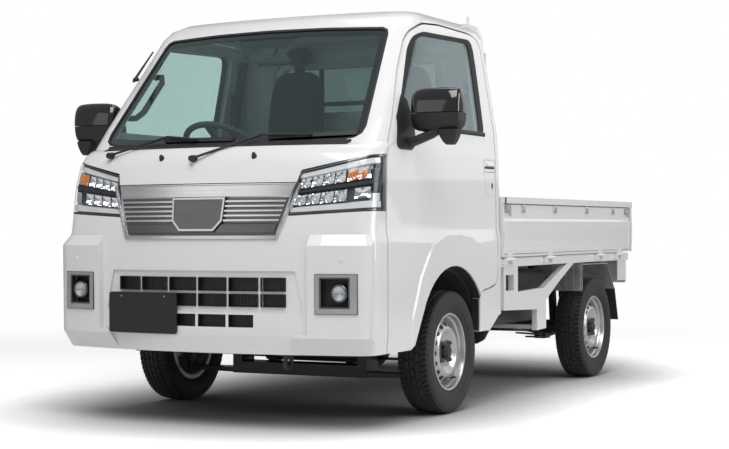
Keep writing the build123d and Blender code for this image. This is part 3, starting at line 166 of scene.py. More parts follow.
def surface(name, colour, rough, metal=0, coat=0, mottle=0.04, mottle_scale=9, grain=0, grain_scale=900, dust=0,
            stretch=(1, 1, 1), **sockets):
    """A procedural finish: mottled colour and roughness, a fine grain in its bump, and dust that settles low down."""
    made, tree, shader = new_material(name)
    place = object_place(tree)
    mapped = add_node(tree, "Mapping", Scale=stretch, Vector=place).outputs["Vector"]
    cloud = add_node(tree, "TexNoise", Scale=mottle_scale, Detail=6.0, Roughness=0.6, Vector=mapped).outputs["Fac"]
    tone = ramped(tree, cloud, [max(0.0, c * (1 - mottle)) for c in colour],
                  [min(1.0, c * (1 + mottle)) for c in colour], MOTTLE_EDGES)
    if dust:
        height = add_node(tree, "SeparateXYZ", {0: place}).outputs["Z"]
        low = add_node(tree, "MapRange", From_Min=DUST_HEIGHTS[0], From_Max=DUST_HEIGHTS[1], To_Max=dust, Value=height)
        speck = add_node(tree, "TexNoise", Scale=35.0, Detail=8.0, Roughness=0.7, Vector=place)
        share = maths(tree, "MULTIPLY", low.outputs["Result"], speck.outputs["Fac"])
        tone = blended(tree, share, tone, DUST_TONE)
    worn = add_node(tree, "MapRange", To_Min=max(0.02, rough * (1 - ROUGHNESS_SPREAD)),
                    To_Max=min(1.0, rough * (1 + ROUGHNESS_SPREAD)), Value=cloud)
    settings = {"Metallic": metal, "Coat Weight": coat, "Coat Roughness": COAT_ROUGHNESS, "Base Color": tone,
                "Roughness": worn.outputs["Result"]}
    settings.update({socket.replace("_", " "): value for socket, value in sockets.items()})
    if grain:
        fine = add_node(tree, "TexNoise", Scale=grain_scale, Detail=3.0, Vector=mapped).outputs["Fac"]
        bump = add_node(tree, "Bump", Strength=grain, Distance=BUMP_DEPTH, Height=fine)
        settings["Normal"] = bump.outputs["Normal"]
    for socket, value in settings.items():
        set_input(tree, shader, socket, value)
    return made


def woven(name, colour, dark, scale):
    """Seat cloth: two crossed sets of threads over a soft mottle."""
    made = surface(name, colour, rough=0.9, mottle=0.12, mottle_scale=30, Sheen_Weight=0.35, Sheen_Roughness=0.5)
    tree = made.node_tree
    shader = tree.nodes["Principled BSDF"]
    place = object_place(tree)
    threads = [add_node(tree, "TexWave", bands_direction=direction, Scale=scale, Distortion=0.4,
                        Vector=place).outputs["Fac"] for direction in ("X", "Z")]
    weave = maths(tree, "MULTIPLY", *threads)
    base = shader.inputs["Base Color"].links[0].from_socket
    set_input(tree, shader, "Base Color", blended(tree, weave, base, (*dark, 1)))
    bump = add_node(tree, "Bump", Strength=0.5, Distance=BUMP_DEPTH, Height=weave)
    set_input(tree, shader, "Normal", bump.outputs["Normal"])
    return made


def clear_glass(name, tint, mottle=0.01, least=0.035):
    """Thin tinted glass: what is behind it, with a gloss that grows from least at grazing angles."""
    made, tree, gloss = new_material(name)
    for socket, value in (("Roughness", 0.02), ("Specular IOR Level", 1.0), ("Metallic", 1.0),
                          ("Base Color", GLASS_TINT_AT_GLANCE)):
        set_input(tree, gloss, socket, value)
    cloud = add_node(tree, "TexNoise", Scale=4.0, Detail=2.0, Vector=object_place(tree)).outputs["Fac"]
    through = add_node(tree, "BsdfTransparent", Color=ramped(tree, cloud, [c * (1 - mottle) for c in tint], tint))
    facing = add_node(tree, "LayerWeight", Blend=0.5).outputs["Facing"]
    share = add_node(tree, "MapRange", To_Min=least, To_Max=GLASS_MOST,
                     Value=maths(tree, "POWER", facing, GLASS_STEEPNESS))
    mix = add_node(tree, "MixShader", {0: share.outputs["Result"], 1: through.outputs[0], 2: gloss.outputs[0]})
    set_input(tree, tree.nodes["Material Output"], "Surface", mix.outputs[0])
    return made


# columns: name, colour, roughness, metal, coat, mottle and its scale, grain and its scale, dust, stretch
PAINT = surface("white_paint", (0.8, 0.8, 0.795), 0.32, 0, 1, 0.006, 2.5, 0.03, 450)
CHASSIS = surface("chassis_black", (0.016, 0.016, 0.017), 0.55, 0, 0.2, 0.3, 9, 0.25, 500, 0.12)
CAST = surface("cast_metal", (0.1, 0.1, 0.105), 0.6, 0.75, 0, 0.25, 9, 0.6, 420, 0.15)
# The tank's near-black colour is painted shade, as dark as the shadow it lies in under the bed; the tank itself is
# grey.
PAINTED_SHADE_TANK = surface("tank_grey", (0.016, 0.016, 0.017), 0.5, 0, 0, 0.15, 9, 0.2, 900, 0.12)
LINER = surface("dark_liner", (0.022, 0.022, 0.024), 0.75, 0, 0, 0.2, 9, 0.5, 600, 0.1)
SILVER = surface("silver_trim", (0.8, 0.8, 0.81), 0.24, 1, 0, 0.05, 14, 0.05, 260, 0, (0.3, 1, 9))
CHROME = surface("chrome", (0.9, 0.9, 0.91), 0.07, 1, 0, 0.02)
BRIGHT_GREY = surface("bright_grey", (0.66, 0.665, 0.675), 0.22, 0.9, 0, 0.04, 9, 0.04, 300)
DARK_SILVER = surface("dark_silver", (0.17, 0.17, 0.175), 0.3, 0.9, 0, 0.08, 9, 0.08, 900, 0, (0.3, 1, 6))
BLACK = surface("black_plastic", (0.018, 0.018, 0.019), 0.5, 0, 0, 0.15, 9, 0.35, 1200)
GLOSS_BLACK = surface("gloss_black", (0.006, 0.006, 0.007), 0.12, 0, 1, 0.1)
RUBBER = surface("rubber", (0.016, 0.016, 0.017), 0.7, 0, 0, 0.2, 9, 0.3, 800)
TYRE = surface("tyre", (0.013, 0.013, 0.0135), 0.62, 0, 0, 0.18, 25, 0.5, 900, 0.03)
STEEL = surface("steel_wheel", (0.5, 0.5, 0.505), 0.3, 0.75, 0.3, 0.04, 9, 0.08, 600, 0.05)
# colour of the thin lines of painted shadow along the gate's pressed grooves
PAINTED_CREASE_SHADE = surface("painted_crease_shade", (0.1, 0.1, 0.105), 0.42, 0.8, 0, 0.2, 9, 0.3, 500)
ZINC = surface("galvanised", (0.46, 0.465, 0.47), 0.42, 0.7, 0, 0.16, 22, 0.15, 300)
CABIN = surface("cabin_plastic", (0.055, 0.056, 0.06), 0.6, 0, 0, 0.08, 9, 0.6, 1500)
PALE_TRIM = surface("pale_trim", (0.86, 0.86, 0.85), 0.8, 0, 0, 0.05, 9, 0.3, 1200)
AMBER = surface("amber_lens", (0.95, 0.26, 0.02), 0.12, 0, 0.8, 0.1, 60, 0.1)
RED = surface("lamp_red", (0.5, 0.012, 0.012), 0.14, 0, 1, 0.1, 60, 0.2, 300)
WHITE_LENS = surface("reverse_lens", (0.75, 0.76, 0.77), 0.12, 0, 0.8, 0.06, 60, 0.3, 300)
PLATE = surface("plate_black", (0.012, 0.012, 0.0125), 0.5, 0, 0, 0.1, 9, 0.1)
MIRROR = surface("mirror_glass", (0.85, 0.86, 0.87), 0.02, 1, 0, 0.01)
WHITE_PLASTIC = surface("lamp_white", (0.78, 0.79, 0.8), 0.16, 0, 0.8, 0.05, 9, 0.05)
CLOTH = woven("seat_fabric", (0.045, 0.046, 0.05), (0.016, 0.016, 0.018), 260)
LENS = clear_glass("lamp_clear", (0.97, 0.975, 0.98))
GLASS = clear_glass("glass", (0.8, 0.91, 0.9), mottle=0.02, least=0.085)
SIDE_GLASS = clear_glass("side_glass", (0.86, 0.93, 0.91), mottle=0.02, least=0.07)
REAR_TINT = clear_glass("rear_glass", (0.33, 0.38, 0.37), mottle=0.02)

SLOT_FINISH = {
    "white_paint": PAINT, "glass": GLASS, "chassis_black": CHASSIS, "cast_metal": CAST, "tank_grey": PAINTED_SHADE_TANK,
    "dark_liner": LINER, "silver_trim": SILVER, "lamp_clear": LENS, "plate_black": PLATE, "cabin_plastic": CABIN,
    "seat_fabric": CLOTH, "galvanised": ZINC, "black_rubber": RUBBER, "lamp_red": RED, "mirror_black": GLOSS_BLACK,
    "steel_wheel": STEEL, "tyre": TYRE, "black_plastic": BLACK,
}
NODE_FINISH = {"door_glass_left": SIDE_GLASS, "door_glass_right": SIDE_GLASS, "rear_window": REAR_TINT}
ROUNDING_ANGLE = math.radians(28)
WELD_DISTANCE = 0.00002


def rounding_group():
    """Joins each node's split corners and shades it smooth except over real edges."""
    group = bpy.data.node_groups.new("soft_shading", "GeometryNodeTree")
    for way in ("INPUT", "OUTPUT"):
        group.interface.new_socket("Geometry", in_out=way, socket_type="NodeSocketGeometry")
    start, end, weld, smooth, edge, wide, crease = [group.nodes.new(kind) for kind in (
        "NodeGroupInput", "NodeGroupOutput", "GeometryNodeMergeByDistance", "GeometryNodeSetShadeSmooth",
        "GeometryNodeInputMeshEdgeAngle", "FunctionNodeCompare", "GeometryNodeSetShadeSmooth")]
    weld.inputs["Distance"].default_value = WELD_DISTANCE
    wide.data_type = "FLOAT"
    wide.operation = "LESS_EQUAL"
    wide.inputs[1].default_value = ROUNDING_ANGLE
    crease.domain = "EDGE"
    for source, target in ((start.outputs[0], weld.inputs[0]), (weld.outputs[0], smooth.inputs[0]),
                           (edge.outputs["Unsigned Angle"], wide.inputs[0]), (smooth.outputs[0], crease.inputs[0]),
                           (wide.outputs[0], crease.inputs["Shade Smooth"]), (crease.outputs[0], end.inputs[0])):
        group.links.new(source, target)
    return group


def dress_nodes():
    slots = {entry["node"]: entry["material_slot"] for entry in frame["record"]["subparts"]}
    group = rounding_group()
    for name, node in NODES.items():
        mesh = node.data
        if "custom_normal" in mesh.attributes:
            mesh.attributes.remove(mesh.attributes["custom_normal"])
        finish = NODE_FINISH.get(name, SLOT_FINISH[slots[name]])
        if not mesh.materials:
            mesh.materials.append(finish)
        for i in range(len(mesh.materials)):
            mesh.materials[i] = finish
        node.modifiers.new("soft_shading", "NODES").node_group = group


# ---------------- building pieces
def circle(count):
    """Cosine and sine of equal turns."""
    return [(math.cos(2 * math.pi * k / count), math.sin(2 * math.pi * k / count)) for k in range(count)]


def spread(low, high, count):
    return [low + (high - low) * i / count for i in range(count + 1)]


class Shape:
    """A mesh put together from simple forms, each of which returns it; done() makes it one named piece."""

    def __init__(self):
        self.bm = bmesh.new()

    def add(self, points, faces, bevel=0.0, weld=0.0):
        verts = [self.bm.verts.new(Vector(p)) for p in points]
        made = [self.bm.faces.new([verts[i] for i in face]) for face in faces]
        if bevel:
            edges = list({e for f in made for e in f.edges})
            sharp = [e for e in edges if len(e.link_faces) == 2 and e.calc_face_angle(0) > 0.5]
            bmesh.ops.bevel(self.bm, geom=sharp, offset=bevel, segments=2, affect="EDGES", profile=0.6)
        if weld:
            bmesh.ops.remove_doubles(self.bm, verts=verts, dist=weld)
        return self

    def box(self, low, high, bevel=0.0, at=None):
        """A box between two corners, turned and moved by the matrix at."""
        points = [Vector((x, y, z)) for x in (low[0], high[0]) for y in (low[1], high[1]) for z in (low[2], high[2])]
        if at is not None:
            points = [at @ p for p in points]
        faces = [(0, 1, 3, 2), (4, 6, 7, 5), (0, 4, 5, 1), (2, 3, 7, 6), (0, 2, 6, 4), (1, 5, 7, 3)]
        return self.add(points, faces, bevel)

    def sheet(self, rows, closed=False, weld=0.0, capped=False):
        """Quads between rows of points; closed joins each row's ends, capped closes the first and last row."""
        width = len(rows[0])
        faces = []
        for r in range(len(rows) - 1):
            for c in range(width if closed else width - 1):
                d = (c + 1) % width
                faces.append((r * width + c, r * width + d, (r + 1) * width + d, (r + 1) * width + c))
        if capped:
            last = (len(rows) - 1) * width
            faces += [tuple(reversed(range(width))), tuple(range(last, last + width))]
        return self.add([p for row in rows for p in row], faces, weld=weld)

    def loft(self, rings):
        """A closed solid through rings of as many points."""
        return self.sheet(rings, closed=True, capped=True)

    def tube(self, points, radius, sides=10):
        """A round bar through points; radius may be a list with one value for each point."""
        points = [Vector(p) for p in points]
        radii = radius if isinstance(radius, (list, tuple)) else [radius] * len(points)
        rows = []
        last = None
        for i, (point, size) in enumerate(zip(points, radii)):
            along = (points[min(i + 1, len(points) - 1)] - points[max(i - 1, 0)]).normalized()
            across = along.orthogonal() if last is None else last - along * last.dot(along)
            last = across = across.normalized()
            third = along.cross(across)
            rows.append([point + (across * c + third * s) * size for c, s in circle(sides)])
        return self.loft(rows)

    def lathe(self, profile, centre, axis="X", steps=48):
        """Turns (distance along the axis, radius) points about an axis through centre."""
        turned = {"X": lambda along, r, c, s: (along, r * c, r * s),
                  "Y": lambda along, r, c, s: (r * s, along, r * c),
                  "Z": lambda along, r, c, s: (r * c, r * s, along)}[axis]
        rows = [[Vector(centre) + Vector(turned(along, radius, c, s)) for along, radius in profile]
                for c, s in circle(steps)]
        return self.sheet(rows + rows[:1], closed=True, weld=1e-6)

    def panel(self, put, a_values, b_values, top, bottom):
        """A closed skin laid on a surface by put(a, b, out); top and bottom are outs, or functions of both shares."""
        na, nb = len(a_values) - 1, len(b_values) - 1
        levels = [out if callable(out) else (lambda i, j, out=out: out) for out in (top, bottom)]
        points = [put(a, b, level(i / na, j / nb)) for level in levels for i, a in enumerate(a_values)
                  for j, b in enumerate(b_values)]
        half = (na + 1) * (nb + 1)

        def at(i, j, low=False):
            return i * (nb + 1) + j + (half if low else 0)

        faces = []
        for i in range(na):
            for j in range(nb):
                faces.append((at(i, j), at(i + 1, j), at(i + 1, j + 1), at(i, j + 1)))
                faces.append((at(i, j, True), at(i, j + 1, True), at(i + 1, j + 1, True), at(i + 1, j, True)))
        rim = [(i, 0) for i in range(na)] + [(na, j) for j in range(nb)]
        rim += [(i, nb) for i in range(na, 0, -1)] + [(0, j) for j in range(nb, 0, -1)]
        for (i, j), (k, m) in zip(rim, rim[1:] + rim[:1]):
            faces.append((at(i, j), at(i, j, True), at(k, m, True), at(k, m)))
        return self.add(points, faces)

    def split(self, height, keep_above):
        """Cuts the mesh level at a height, keeps one part and closes it."""
        geom = list(self.bm.verts) + list(self.bm.edges) + list(self.bm.faces)
        made = bmesh.ops.bisect_plane(self.bm, geom=geom, plane_co=(0, 0, height), plane_no=(0, 0, 1),
                                      clear_inner=keep_above, clear_outer=not keep_above)
        edges = [e for e in made["geom_cut"] if isinstance(e, bmesh.types.BMEdge)]
        bmesh.ops.edgeloop_fill(self.bm, edges=edges)
        return self

    def done(self, name, finish, body=ROOT, angle=32, mirrored=False):
        if mirrored:
            bmesh.ops.scale(self.bm, vec=(-1, 1, 1), verts=self.bm.verts)
        bmesh.ops.recalc_face_normals(self.bm, faces=self.bm.faces)
        mesh = bpy.data.meshes.new(name)
        self.bm.to_mesh(mesh)
        self.bm.free()
        mesh.polygons.foreach_set("use_smooth", [True] * len(mesh.polygons))
        mesh.set_sharp_from_angle(angle=math.radians(angle))
        mesh.materials.append(finish)
        piece = place_object(name, mesh)
        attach(piece, body)
        return piece


def rounded(points, radius, steps=4):
    """A closed outline of (a, b) points with its corners rounded."""
    out = []
    for before, corner, after in zip(points[-1:] + points[:-1], points, points[1:] + points[:1]):
        here = Vector(corner)
        back, ahead = Vector(before) - here, Vector(after) - here
        reach = min(radius, back.length / 2.2, ahead.length / 2.2)
        a, b = here + back.normalized() * reach, here + ahead.normalized() * reach
        for t in spread(0, 1, steps):
            out.append(tuple(a * (1 - t) ** 2 + here * (2 * t * (1 - t)) + b * t**2))
    return out


def eased(points, reach, least=10.0):
    """A closed outline with each corner that turns more than least degrees cut back to three points."""
    out = []
    for before, corner, after in zip(points[-1:] + points[:-1], points, points[1:] + points[:1]):
        here = Vector(corner)
        back, ahead = Vector(before) - here, Vector(after) - here
        if 180 - math.degrees(back.angle(ahead)) < least:
            out.append(corner)
            continue
        start = here + back.normalized() * min(reach, back.length / 2.2)
        end = here + ahead.normalized() * min(reach, ahead.length / 2.2)
        out += [tuple(start), tuple((start + here * 2 + end) * 0.25), tuple(end)]
    return out


def shrunk(points, by):
    """A closed outline of (a, b) points moved inward by a distance, corner by corner."""
    out = []
    area = sum(p[0] * q[1] - q[0] * p[1] for p, q in zip(points[-1:] + points[:-1], points))
    turn = 1 if area > 0 else -1
    for before, corner, after in zip(points[-1:] + points[:-1], points, points[1:] + points[:1]):
        back = (Vector(corner) - Vector(before)).normalized()
        ahead = (Vector(after) - Vector(corner)).normalized()
        n0, n1 = (Vector((-way.y, way.x)) * turn for way in (back, ahead))
        mid = n0 + n1 if (n0 + n1).length >= 1e-6 else n0
        mid = mid.normalized()
        out.append(tuple(Vector(corner) + mid * (by / max(0.3, mid.dot(n0)))))
    return out


# ---------------- the cab's skin
# columns: height, setback of the nose from the truck's front, half width, front corner radius
CAB_ROWS = (
    (0.3, 0.026, 0.7245, 0.07), (0.385, 0.008, 0.7315, 0.075), (0.74, 0.008, 0.7315, 0.075),
    (0.79, 0.013, 0.7235, 0.085), (0.973, 0.043, 0.7225, 0.085), (1.06, 0.069, 0.7215, 0.095),
    (1.105, 0.097, 0.7205, 0.108), (1.128, 0.13, 0.7195, 0.118), (1.136, 0.158, 0.7185, 0.12),
    (1.23, 0.238, 0.7125, 0.121), (1.65, 0.595, 0.6455, 0.121), (1.692, 0.645, 0.6245, 0.115),
)
NOSE_BOW = 2.6
SEAM_FRONT = FRONT + 0.255
CAB_REAR = FRONT + 1.46
AXLE_F = FRONT + 0.895
AXLE_R = AXLE_F + 1.9
WHEEL_Z = 0.264
SLOPE_STEP = 0.002


def cab_row(z):
    """Nose, half width, corner radius, the corner's centre, and where the nose's bow ends, at a height."""
    z = min(max(z, CAB_ROWS[0][0]), CAB_ROWS[-1][0])
    low, high = next(pair for pair in zip(CAB_ROWS, CAB_ROWS[1:]) if z <= pair[1][0])
    share = (z - low[0]) / (high[0] - low[0])
    _, setback, half, corner = (a + (b - a) * share for a, b in zip(low, high))
    nose = FRONT + setback
    centre = nose + NOSE_BOW - math.sqrt((NOSE_BOW - corner) ** 2 - (half - corner) ** 2)
    turn = math.asin((half - corner) / (NOSE_BOW - corner))
    return nose, half, corner, centre, turn


def skin_point(s, z):
    """Place on the left half of the skin, s along it from where the side begins; ahead of that s is negative."""
    nose, half, corner, centre, turn = cab_row(z)
    span = (math.pi / 2 - turn) * corner
    if s >= 0:
        return Vector((half, centre + s, z))
    if s > -span:
        a = math.pi / 2 + s / corner
        return Vector((half - corner + corner * math.sin(a), centre - corner * math.cos(a), z))
    a = turn + (s + span) / NOSE_BOW
    return Vector((NOSE_BOW * math.sin(a), nose + NOSE_BOW - NOSE_BOW * math.cos(a), z))


def on_skin(s, z, out=0.0, side=1):
    """The same place, out from the skin along its normal, on either side of the truck."""
    across = skin_point(s + SLOPE_STEP, z) - skin_point(s - SLOPE_STEP, z)
    upward = skin_point(s, z + SLOPE_STEP) - skin_point(s, z - SLOPE_STEP)
    point = skin_point(s, z) + across.cross(upward).normalized() * out
    return Vector((side * point.x, point.y, point.z))


def along_of_x(x, z):
    """How far along the skin a place is that lies x from the middle."""
    _, half, corner, _, turn = cab_row(z)
    if x <= NOSE_BOW * math.sin(turn):
        return (math.asin(x / NOSE_BOW) - turn) * NOSE_BOW - (math.pi / 2 - turn) * corner
    return (math.asin(min(1.0, (x - half + corner) / corner)) - math.pi / 2) * corner


def on_front(x, z, out=0.0):
    """Place on the nose as it is seen from the front."""
    return on_skin(along_of_x(abs(x), z), z, out, -1 if x < 0 else 1)


def on_side(y, z, out=0.0, side=1):
    """Place on the side as it is seen from beside the truck."""
    _, _, corner, centre, _ = cab_row(z)
    s = y - centre
    if s < 0:
        s = (math.acos(min(1.0, -s / corner)) - math.pi / 2) * corner
    return on_skin(s, z, out, side)


def side_put(side):
    return lambda y, z, out=0.0: on_side(y, z, out, side)


def lipped(top, edge, both=False):
    """A panel's height: top inside and edge at its border, along b alone or both ways."""
    return lambda i, j: top if 0 < j < 1 and (not both or 0 < i < 1) else edge


def border(name, outline, width, put, finish, body=ROOT, low=0.0, high=0.001, radius=0.0, step=0.03, inner=None):
    """A closed band just inside an outline, laid on a surface by put(a, b, out)."""
    inner = shrunk(outline, width) if inner is None else inner
    if radius:
        outline = rounded(outline, radius)
        inner = rounded(inner, max(radius - width, radius * 0.3))
    outer_run, inner_run = [], []
    for i in range(len(outline)):
        j = (i + 1) % len(outline)
        parts = max(1, round(math.dist(outline[i], outline[j]) / step))
        for t in spread(0, 1, parts)[:-1]:
            outer_run.append([p + (q - p) * t for p, q in zip(outline[i], outline[j])])
            inner_run.append([p + (q - p) * t for p, q in zip(inner[i], inner[j])])
    rows = [[put(*p, out) for p in run] for run, out in
            ((outer_run, low), (outer_run, high), (inner_run, high), (inner_run, low), (outer_run, low))]
    return Shape().sheet(rows, closed=True, weld=1e-7).done(name, finish, body)


def rectangle(a0, a1, b0, b1):
    return [(a0, b0), (a1, b0), (a1, b1), (a0, b1)]


# ---------------- windows
SCREEN_HALF = [(0.0, 1.138), (0.33, 1.142), (0.545, 1.148), (0.588, 1.156), (0.613, 1.173), (0.619, 1.203),
               (0.556, 1.606), (0.546, 1.627), (0.524, 1.637), (0.28, 1.645), (0.0, 1.648)]
SCREEN = SCREEN_HALF + [(-x, z) for x, z in reversed(SCREEN_HALF[1:-1])]
GLASS_DEPTH = -0.0057
SEAL_DEPTH = GLASS_DEPTH - 0.001
REAR_GLASS = [(-0.43, 1.338), (0.43, 1.338), (0.422, 1.582), (-0.422, 1.582)]
REAR_WALL_BEND = 1.23
REAR_WALL_LEAN = 0.008 / 0.42
DOOR_WINDOW = eased([
    (FRONT + 0.432, 1.222), (FRONT + 0.475, 1.313), (FRONT + 0.632, 1.534), (FRONT + 0.69, 1.59),
    (FRONT + 0.766, 1.612), (CAB_REAR - 0.198, 1.627), (CAB_REAR - 0.18, 1.6), (CAB_REAR - 0.18, 1.507),
    (CAB_REAR - 0.196, 1.222),
], 0.028)
# black patch on the door's front corner, columns: height, front edge, back edge
MIRROR_SAIL = (
    (1.111, -1.3, -1.205), (1.116, -1.322, -1.19), (1.128, -1.332, -1.172), (1.15, -1.33, -1.16),
    (1.222, -1.309, -1.162), (1.24, -1.304, -1.169), (1.318, -1.243, -1.2015), (1.335, -1.229, -1.2215),
)


def rear_put(x, z, out):
    """Place on the cab's rear wall, which leans forward above its bend."""
    return Vector((x, CAB_REAR - max(0.0, z - REAR_WALL_BEND) * REAR_WALL_LEAN + out, z))


def patch_put(a, z, out):
    """Place on the windscreen's upper middle, in a field that widens upward."""
    return on_front(a * (0.105 + (z - 1.575) * 0.9), z, out)


def build_windows():
    border("windscreen_border", SCREEN, 0.03, on_front, GLOSS_BLACK, low=SEAL_DEPTH, high=GLASS_DEPTH + 0.0012)
    border("windscreen_rubber", shrunk(SCREEN, -0.003), 0.009, on_front, RUBBER, low=SEAL_DEPTH, high=0.0005)
    Shape().panel(on_front, spread(-0.585, 0.585, 30), (1.126, 1.136, 1.146), 0.0022, GLASS_DEPTH).done(
        "cowl_seal", RUBBER)
    Shape().panel(patch_put, spread(-1, 1, 8), spread(1.578, 1.64, 3), GLASS_DEPTH - 0.0045,
                  GLASS_DEPTH - 0.0065).done("sensor_patch", GLOSS_BLACK)
    rubber_inner = [(y - 0.03 if y > CAB_REAR - 0.24 else y, z) for y, z in shrunk(DOOR_WINDOW, 0.002)]
    for name, side in SIDES:
        body = f"door_{name}"
        put = side_put(side)
        border(f"window_rubber_{name}", shrunk(DOOR_WINDOW, -0.0148), 0.014, put, RUBBER, body, low=SEAL_DEPTH,
               high=-0.0015, inner=rubber_inner)
        Shape().panel(put, spread(FRONT + 0.452, CAB_REAR - 0.178, 16), (1.204, 1.214, 1.224), lipped(0.0045, 0.001),
                      GLASS_DEPTH).done(f"belt_strip_{name}", BLACK, body)
        rows = [[put(y, z, 0.0035) for y in spread(fore, aft, 5)] + [put(y, z, -0.002) for y in spread(aft, fore, 5)]
                for z, fore, aft in MIRROR_SAIL]
        Shape().loft(rows).done(f"mirror_sail_{name}", BLACK, body)
    border("rear_window_rubber", rounded(REAR_GLASS, 0.03), 0.016, rear_put, RUBBER, low=SEAL_DEPTH)
    Shape().panel(rear_put, (-0.223, -0.197), spread(1.34, 1.58, 6), GLASS_DEPTH + 0.0015, SEAL_DEPTH).done(
        "rear_window_divider", RUBBER)


# ---------------- nose
# the headlamp's lower and upper edge lines, columns: x and z of a point on it, slope
LAMP_LOW = (0.388, 0.846, 0.0542)
LAMP_HIGH = (0.437, 1.022, 0.21875)
LAMP_INNER_LEAN = 0.2784
LAMP_MIDDLE_Z = 0.955
LAMP_BACK = -0.031
CUP_RIM = -0.007
CUP_BACK = -0.0305
CUPS = 4
# rows of small cups, columns: lower and upper edge, first and last edge, middle of their bulbs
CUP_ROWS = ((0.59, 0.81, 0.03, 0.5, 0.7), (0.21, 0.43, 0.02, 0.53, 0.32))


def lamp_put(side):
    """Places in a headlamp: f from its inner edge to the door's seam, v from its lower edge to its upper edge."""
    def put(f, v, out=0.0):
        def along(z):
            first = along_of_x(LAMP_LOW[0] + (z - LAMP_LOW[1]) * LAMP_INNER_LEAN, z)
            last = SEAM_FRONT - 0.0044 - cab_row(z)[3]
            return first + (last - first) * f
        x = skin_point(along(LAMP_MIDDLE_Z), LAMP_MIDDLE_Z).x
        low, high = (z + (x - x0) * slope for x0, z, slope in (LAMP_LOW, LAMP_HIGH))
        z = low + (high - low) * v
        return on_skin(along(z), z, out, side)
    return put


def bowl(rim, deep):
    return lambda i, j: rim - deep * (1 - (2 * i - 1) ** 2) * (1 - (2 * j - 1) ** 2)


def dome(top, fall):
    return lambda i, j: top - fall * ((2 * i - 1) ** 2 + (2 * j - 1) ** 2)


def build_headlamps():
    for name, side in SIDES:
        put = lamp_put(side)
        Shape().panel(put, spread(0.008, 0.985, 24), spread(0.02, 0.98, 4), LAMP_BACK, -0.036).done(
            f"lamp_pan_{name}", DARK_SILVER)
        cups, bulbs = Shape(), Shape()
        for v0, v1, f0, f1, v in CUP_ROWS:
            for i in range(CUPS):
                a, f, b = (f0 + (f1 - f0) * share / CUPS for share in (i, i + 0.5, i + 1))
                cups.panel(put, spread(a + 0.006, b - 0.006, 8), spread(v0, v1, 8), bowl(CUP_RIM, 0.021), CUP_BACK)
                bulbs.panel(put, spread(f - 0.026, f + 0.026, 8), spread(v - 0.075, v + 0.075, 8),
                            dome(-0.016, 0.012), -0.03)
        cups.panel(put, spread(0.515, 0.775, 8), spread(0.59, 0.81, 6), bowl(CUP_RIM, 0.02), CUP_BACK)
        cups.panel(put, spread(0.6, 0.77, 8), spread(0.24, 0.43, 6), bowl(CUP_RIM, 0.016), CUP_BACK)
        cups.done(f"lamp_reflectors_{name}", CHROME, angle=50)
        bulbs.done(f"lamp_bulbs_{name}", WHITE_PLASTIC, angle=60)
        amber = Shape().panel(put, spread(0.665, 0.77, 8), spread(0.62, 0.78, 8), dome(-0.009, 0.014), -0.03)
        for f in (0.535, 0.565, 0.595, 0.625):
            amber.panel(put, (f - 0.007, f + 0.007), spread(0.61, 0.8, 6), -0.009, -0.022)
        amber.done(f"lamp_indicator_{name}", AMBER, angle=60)
        blades = Shape().panel(put, spread(0.01, 0.86, 20), (0.465, 0.485, 0.545, 0.565), lipped(-0.0045, -0.012),
                               LAMP_BACK)
        blades.panel(put, spread(0.795, 0.925, 4), spread(0.35, 0.75, 6), -0.006, LAMP_BACK)
        blades.panel(put, (0.503, 0.513), spread(0.59, 0.82, 4), -0.006, LAMP_BACK)
        blades.done(f"lamp_blades_{name}", BLACK)
        strips = Shape()
        for heights, top in (((0.83, 0.85, 0.95, 0.962), -0.006), ((0.045, 0.055, 0.155, 0.185), -0.004)):
            strips.panel(put, spread(0.012, 0.93, 20), heights, lipped(top, -0.014), LAMP_BACK)
        strips.panel(put, spread(0.8, 0.925, 4), spread(0.16, 0.31, 4), -0.008, LAMP_BACK)
        strips.done(f"lamp_strips_{name}", WHITE_PLASTIC)
        border(f"lamp_frame_{name}", rectangle(0.001, 0.999, 0.002, 0.998), 0.018, put, DARK_SILVER, low=-0.01,
               high=0.0006, step=0.05, inner=rectangle(0.012, 0.955, 0.028, 0.972))
        border(f"lamp_gasket_{name}", rectangle(-0.006, 1.0, -0.014, 1.012), 0.01, put, RUBBER, low=-0.012,
               high=-0.0004, step=0.05, inner=rectangle(0.004, 0.99, 0.006, 0.994))


GRILLE_LOW = (0.349, 0.757)
GRILLE_LEAN = 0.07 / 0.217
GRILLE_BARS = (0.9035, 0.8845, 0.8655, 0.8465, 0.8275)
BAR_INNER_X = 0.12
BAR_END = 0.975
BADGE = [(-0.117, 0.912), (0.117, 0.912), (0.112, 0.827), (0.078, 0.79), (-0.078, 0.79), (-0.112, 0.827)]
BADGE_OUT = 0.0085


def grille_half(z):
    return GRILLE_LOW[0] + (z - GRILLE_LOW[1]) * GRILLE_LEAN


def grille_put(u, z, out=0.0):
    """Place on the grille, u its share of the half width."""
    return on_front(u * grille_half(z), z, out)


